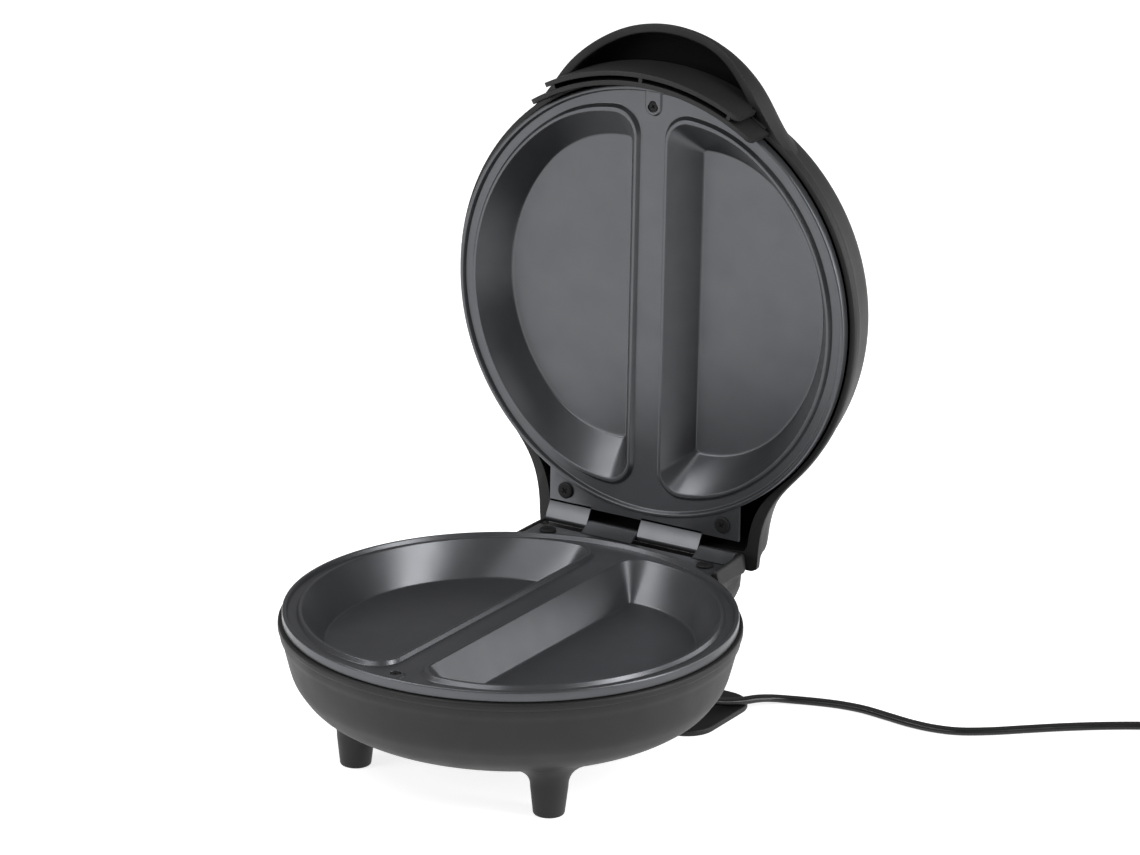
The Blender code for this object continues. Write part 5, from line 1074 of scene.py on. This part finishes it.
def make_ears(material):
    """The rounded ears beside the hinge tab."""
    spots = smooth_path([Vector(row) for row in EAR_SHARES], 6)
    section = smooth_path([Vector(row) for row in EAR_SECTION], 4)
    for side in (1, -1):
        bm = bmesh.new()
        rings = []
        for length, rise, width in spots:
            y = EAR_REAR - EAR_LENGTH * (1.0 - length)
            top = EAR_RISE * rise if side > 0 else EAR_LEFT_RISE
            root = EAR_ROOT_INSET + EAR_ROOT_WIDTH * width
            outer = max(EAR_WIDTH * width, root)
            lift = min(max((length - 0.6) / 0.25, 0.0), 1.0)
            deep = EAR_ROOT - (EAR_ROOT - EAR_UNDER - HAIR) * lift
            ring = [(EAR_ROOT_INSET, -deep), (EAR_ROOT_INSET, -EAR_LOW - FINE_ROUND)]
            ring += [(outer * across, -EAR_LOW + (top + EAR_LOW) * height) for across, height in section]
            ring += [(outer * 0.95, -EAR_UNDER + FINEST_ROUND), (outer * 0.86, -EAR_UNDER)]
            ring += [(root, -EAR_UNDER), (root, -deep)]
            rings.append([(side * (EAR_INNER + x), y, z) for x, z in ring])
        add_rows(bm, rings)
        ear = finish(f"ear_{side_word(side, False)}", bm, False, material)


def rounded_rectangle(half_x, front, rear, corner, steps=10):
    """The outline of a rectangle with round corners."""
    points = []
    centres = (
        (half_x - corner, rear - corner, 0.0), (-half_x + corner, rear - corner, 90.0),
        (-half_x + corner, front + corner, 180.0), (half_x - corner, front + corner, 270.0),
    )
    for x, y, start in centres:
        for step in range(steps + 1):
            dx, dy = polar(corner, start + 90.0 * step / steps)
            points.append((x + dx, y + dy))
    return points


def soft_slab(bm, half_x, front, rear, corner, low, high, ease):
    """A rounded rectangle drawn up, with its lower and upper edges broken."""
    rings = []
    for draw, height in eased((
        (ease * 3, low, 0.0), (0.0, low, ease), (0.0, high, ease), (ease * 3, high, 0.0),
    )):
        outline = rounded_rectangle(half_x - draw, front + draw, rear - draw, corner - draw)
        rings.append([(x, y, height) for x, y in outline])
    add_rows(bm, rings)


def make_stand(material):
    """The hub under the rear of the base, and the cord-wrap plate that it stands on."""
    bm = bmesh.new()
    low = -CREST_HEIGHT + HUB_GAP
    soft_slab(bm, HUB_HALF, HUB_FRONT, HUB_REAR, HUB_CORNER, low, -SHELL_DEPTH * HUB_TOP_SHARE, HUB_EASE)
    finish("hub_fine", bm, False, material)
    bm = bmesh.new()
    top = -CREST_HEIGHT + WRAP_THICKNESS
    soft_slab(bm, WRAP_HALF, WRAP_FRONT, WRAP_REAR, WRAP_CORNER, -CREST_HEIGHT, top, WRAP_EASE)
    plate = finish("cord_wrap_plate_fine", bm, False, material)
    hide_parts("cord_wrap_plate")


# Cord

def make_bushing(material):
    """The ribbed bushing that leads the cord out of the hub."""
    root, flange, start = BUSHING_ROOT_RADIUS, BUSHING_FLANGE_RADIUS, BUSHING_COLLAR_START
    profile = [(flange, BUSHING_FLANGE_START), (flange, BUSHING_FLANGE_END)]
    profile += [(root, BUSHING_FLANGE_END), (root, start)]
    profile += eased((
        (root, start, 0.0), (BUSHING_COLLAR_RADIUS, start, HAIR),
        (BUSHING_COLLAR_RADIUS, BUSHING_COLLAR_END, EDGE_ROUND), (root, BUSHING_COLLAR_FOOT, 0.0),
    ))[1:]
    span = BUSHING_LENGTH - BUSHING_PLAIN_LENGTH
    for rib in range(BUSHING_RIBS):
        low = BUSHING_RIBS_START + span * rib / BUSHING_RIBS
        high = BUSHING_RIBS_START + span * (rib + 1) / BUSHING_RIBS
        radius = root + (BUSHING_TIP_RADIUS - root) * low / BUSHING_LENGTH
        groove = radius - BUSHING_RIB_DEPTH
        crest = high - (high - low) * 0.3
        profile += eased((
            (groove, low, 0.0), (radius, low, FINEST_ROUND), (radius, crest, FINE_ROUND),
            (groove, crest, FINEST_ROUND), (groove, high - HAIR, 0.0),
        ), 2)
    mouth, end = BUSHING_MOUTH_RADIUS, BUSHING_LENGTH
    profile += eased((
        (mouth, end - BUSHING_MOUTH_LENGTH, 0.0), (mouth, end, EDGE_ROUND),
        (BUSHING_BORE_RADIUS, end, 0.0),
    ))
    height = -CREST_HEIGHT + BUSHING_HEIGHT
    rings = []
    for radius, reach in profile:
        ring = circle(radius, HUB_HALF + reach, BUSHING_SEGMENTS, (BUSHING_Y, height))
        rings.append([(x, y, z) for y, z, x in ring])
    bm = bmesh.new()
    add_rows(bm, rings)
    bushing = finish("cord_bushing_fine", bm, False, material)
    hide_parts("cord_bushing")


def coil_points():
    """The put-away loops: in on the lower layer, up at the turn, out on the upper."""
    steps = round(COIL_TURNS * 96)
    half = COIL_TURNS / 2
    outer = COIL_MEAN_RADIUS + COIL_PITCH * half / 2
    points = []
    for step in range(steps + 1):
        turn = COIL_TURNS * step / steps
        radius = outer - COIL_PITCH * (half - abs(turn - half))
        climb = min(max((turn - half) / 0.5 + 0.5, 0.0), 1.0)
        last = min(max((turn - COIL_TURNS) / 0.3 + 1.0, 0.0), 1.0)
        height = COIL_FLOOR + COIL_LAYER * climb * climb * (3 - 2 * climb)
        height += (PLUG_HEIGHT - COIL_FLOOR - COIL_LAYER) * last * last * (3 - 2 * last)
        x, y = polar(radius, COIL_START_DEGREES - 360.0 * turn)
        points.append(COIL_CENTRE + Vector((x, y, height)))
    return points


def cord_section():
    """The outline of a flat cord of two cores, with a groove between them."""
    steps = 12
    half = CORD_THICKNESS / 2
    core = CORD_WIDTH / 2 - half
    points = []
    for centre, start in ((core, -90.0), (-core, 90.0)):
        for step in range(steps + 1):
            x, z = polar(half, start + 180.0 * step / steps)
            points.append((centre + x, z))
        points.append((0.0, math.copysign(half - CORD_GROOVE, -start)))
    return points


def sweep(bm, line, section):
    """Draw a section along a line, its width level."""
    rings = []
    for index, point in enumerate(line):
        ahead = line[min(index + 1, len(line) - 1)] - line[max(index - 1, 0)]
        across = Vector((ahead.y, -ahead.x, 0.0)).normalized()
        upward = across.cross(ahead).normalized()
        rings.append([point + across * x + upward * z for x, z in section])
    add_rows(bm, rings)


def make_cord(material):
    """The flat cord from the bushing over the table to its put-away coil."""
    loops = coil_points()
    tip = Vector((HUB_HALF + BUSHING_LENGTH, BUSHING_Y - ORIGIN_Y, BUSHING_HEIGHT))
    route = [tip + Vector((CORD_GAP, 0.0, 0.0)), tip + Vector((CORD_LEAD, 0.0, 0.0))]
    for index, spot in enumerate(CORD_ROUTE):
        route.append(Vector(spot) - Vector((0.0, 0.0, CORD_DROP * min(index / 3, 1.0))))
    heading = (loops[0] - loops[1]).normalized()
    route += [loops[0] + heading * 2 * CORD_RADIUS, loops[0]]
    tail = (loops[-1] - loops[-2]).normalized()
    end = loops[-1] + Vector((tail.x, tail.y, 0.0)) * 2 * CORD_RADIUS
    line = smooth_path(route, 8)[:-1] + loops + [end]
    bm = bmesh.new()
    sweep(bm, line, cord_section())
    cord = new_object("cord_fine", bm)
    smooth(cord.data, CORD_SHARP_DEGREES)
    cord.data.materials.append(material)
    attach(cord, "base")
    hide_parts("cord_free", "cord_coil")
    tie = make_tie(loops)
    plug = make_plug(line)


def make_tie(loops):
    """A flat band closed round the coil's turns at one bearing."""
    out = Vector((*polar(1.0, TIE_DEGREES), 0.0))
    side = Vector((-out.y, out.x, 0.0))
    near = []
    for spoke in [p - COIL_CENTRE for p in loops]:
        if abs(spoke.dot(side)) < TIE_WIDTH / 2 and spoke.dot(out) > 0:
            near.append(spoke)
    low_r = min(p.dot(out) for p in near) - CORD_WIDTH / 2 - TIE_ROOM
    high_r = max(p.dot(out) for p in near) + CORD_WIDTH / 2 + TIE_ROOM
    low_z = min(p.z for p in near) - CORD_THICKNESS / 2 - TIE_ROOM
    high_z = max(p.z for p in near) + CORD_THICKNESS / 2 + TIE_ROOM
    rings = []
    for reach, grow in ((-1, 0.0), (-1, TIE_SHEET), (1, TIE_SHEET), (1, 0.0)):
        half_r = (high_r - low_r) / 2 + grow
        half_z = (high_z - low_z) / 2 + grow
        outline = rounded_rectangle(half_r, -half_z, half_z, TIE_CORNER + grow, 8)
        centre = COIL_CENTRE + out * (high_r + low_r) / 2 + side * reach * TIE_WIDTH / 2
        rings.append([centre + out * x + Vector((0.0, 0.0, (low_z + high_z) / 2 + z)) for x, z in outline])
    bm = bmesh.new()
    add_sleeve(bm, rings)
    tie = finish("cord_tie_fine", bm, False, FINISHES["black_screw"], Matrix())
    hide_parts("cord_tie")
    return tie


def make_plug(line):
    """The moulded body of the plug, with grip ridges on its neck."""
    heading = (line[-1] - line[-2]).normalized()
    turn = Matrix.Rotation(math.atan2(heading.y, heading.x), 4, "Z")
    spot = Matrix.Translation(line[-1] + heading * CORD_GAP)
    half = PLUG_HEIGHT - HAIR
    table = (
        (0.0, PLUG_NECK_START, PLUG_NECK_START, 1.0), (0.75, PLUG_NECK_END, PLUG_NECK_END, 1.0),
        (1.0, PLUG_WIDTH * 0.32, half * 0.55, 0.8), (1.21, PLUG_WIDTH * 0.46, half * 0.86, 0.6),
        (1.56, PLUG_WIDTH / 2, half, 0.5), (2.12, PLUG_NOSE_WIDTH / 2, half, 0.5),
        (PLUG_END_SHARE, PLUG_NOSE_WIDTH / 2, half * 0.94, 0.5),
    )
    rings = []
    for step in range(PLUG_STEPS + 1):
        share = PLUG_END_SHARE * step / PLUG_STEPS
        half_y, half_z, corner = along(table, share)
        drawn = PLUG_RIB if 0.1 < share < 0.8 and (step // 3) % 2 else 0.0
        if step in (0, PLUG_STEPS):
            drawn = FINE_ROUND
        half_y, half_z = half_y - drawn, half_z - drawn
        radius = min(half_y, half_z) * corner * 0.999
        outline = rounded_rectangle(half_y, -half_z, half_z, radius, 8)
        x = share * PLUG_NECK_LENGTH
        if share >= 1.0:
            x = PLUG_NECK_LENGTH + (share - 1.0) / 1.4 * PLUG_LENGTH
        rings.append([(x, y, z) for y, z in outline])
    bm = bmesh.new()
    add_rows(bm, rings)
    plug = finish("plug_body_fine", bm, False, FINISHES["cord_sheath"], spot @ turn)
    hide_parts("plug_body")
    return plug


# Stage and light

def make_stage():
    """A floor, white to the camera, whose left part alone is bright in reflections."""
    bm = bmesh.new()
    bmesh.ops.create_grid(bm, x_segments=1, y_segments=1, size=FLOOR_HALF)
    mesh = bpy.data.meshes.new("floor")
    bm.to_mesh(mesh)
    bm.free()
    floor = link("floor", mesh)
    material = new_material("floor", (0.80, 0.80, 0.80), 0.9)
    shader = shader_of(material)
    shader.inputs["Emission Color"].default_value = (1.0, 1.0, 1.0, 1.0)
    tree = material.node_tree
    path = add_node(tree, "LightPath")
    place = add_node(tree, "TexCoord")
    split = add_node(tree, "SeparateXYZ")
    wire(place, "Object", split, "Vector")
    fade = add_node(
        tree, "MapRange", From_Min=GLOW_FULL_X, From_Max=GLOW_GONE_X, To_Min=FLOOR_GLOW, To_Max=0.0,
    )
    fade.interpolation_type = "SMOOTHSTEP"
    wire(split, "X", fade, "Value")
    mirrored = add_node(tree, "Math")
    mirrored.operation = "MULTIPLY"
    wire(path, "Is Glossy Ray", mirrored, 0)
    wire(fade, "Result", mirrored, 1)
    seen = add_node(tree, "Math")
    seen.operation = "MULTIPLY_ADD"
    seen.inputs[1].default_value = FLOOR_GLOW
    wire(path, "Is Camera Ray", seen, 0)
    wire(mirrored, "Value", seen, 2)
    wire(seen, "Value", shader, "Emission Strength")
    mesh.materials.append(material)


def add_lamp(name, direction, distance, size, power):
    """A softbox that faces the appliance from a direction."""
    data = bpy.data.lights.new(name, "AREA")
    data.shape = "RECTANGLE"
    data.size, data.size_y = size
    data.energy = power
    lamp = link(name, data)
    way = Vector(direction).normalized()
    lamp.location = way * distance + LAMP_AIM
    lamp.rotation_euler = way.to_track_quat("Z", "Y").to_euler()


def make_light():
    """A white backdrop for the camera, a dimmer studio for reflections, and softboxes."""
    world = bpy.data.worlds.new("studio")
    bpy.context.scene.world = world
    world.use_nodes = True
    tree = world.node_tree
    background = tree.nodes["Background"]
    background.inputs["Color"].default_value = (1.0, 1.0, 1.0, 1.0)
    path = add_node(tree, "LightPath")
    span = add_node(tree, "MapRange", To_Min=STUDIO_STRENGTH, To_Max=1.0)
    wire(path, "Is Camera Ray", span, "Value")
    wire(span, "Result", background, "Strength")
    for lamp in LAMPS:
        add_lamp(*lamp)


def main():
    bpy.context.scene.view_settings.view_transform = "Standard"
    make_camera()
    dress_frame()
    make_cord(FINISHES["cord_sheath"])
    make_bushing(FINISHES["cord_sheath"])
    coat, shell = FINISHES["coated_plate"], FINISHES["black_moulding"]
    for name, lid in (("lower", False), ("upper", True)):
        make_plate(name + "_plate", lid, coat)
        make_screw_heads(name, lid)
    for name, lid in (("base_shell", False), ("lid_shell", True)):
        piece = make_shell(name + "_fine", lid, shell)
        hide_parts(name)
    for side in (1, -1):
        make_leg(side, shell)
    make_ears(shell)
    make_stand(shell)
    make_hood(shell)
    make_apron(shell)
    make_stage()
    make_light()


main()
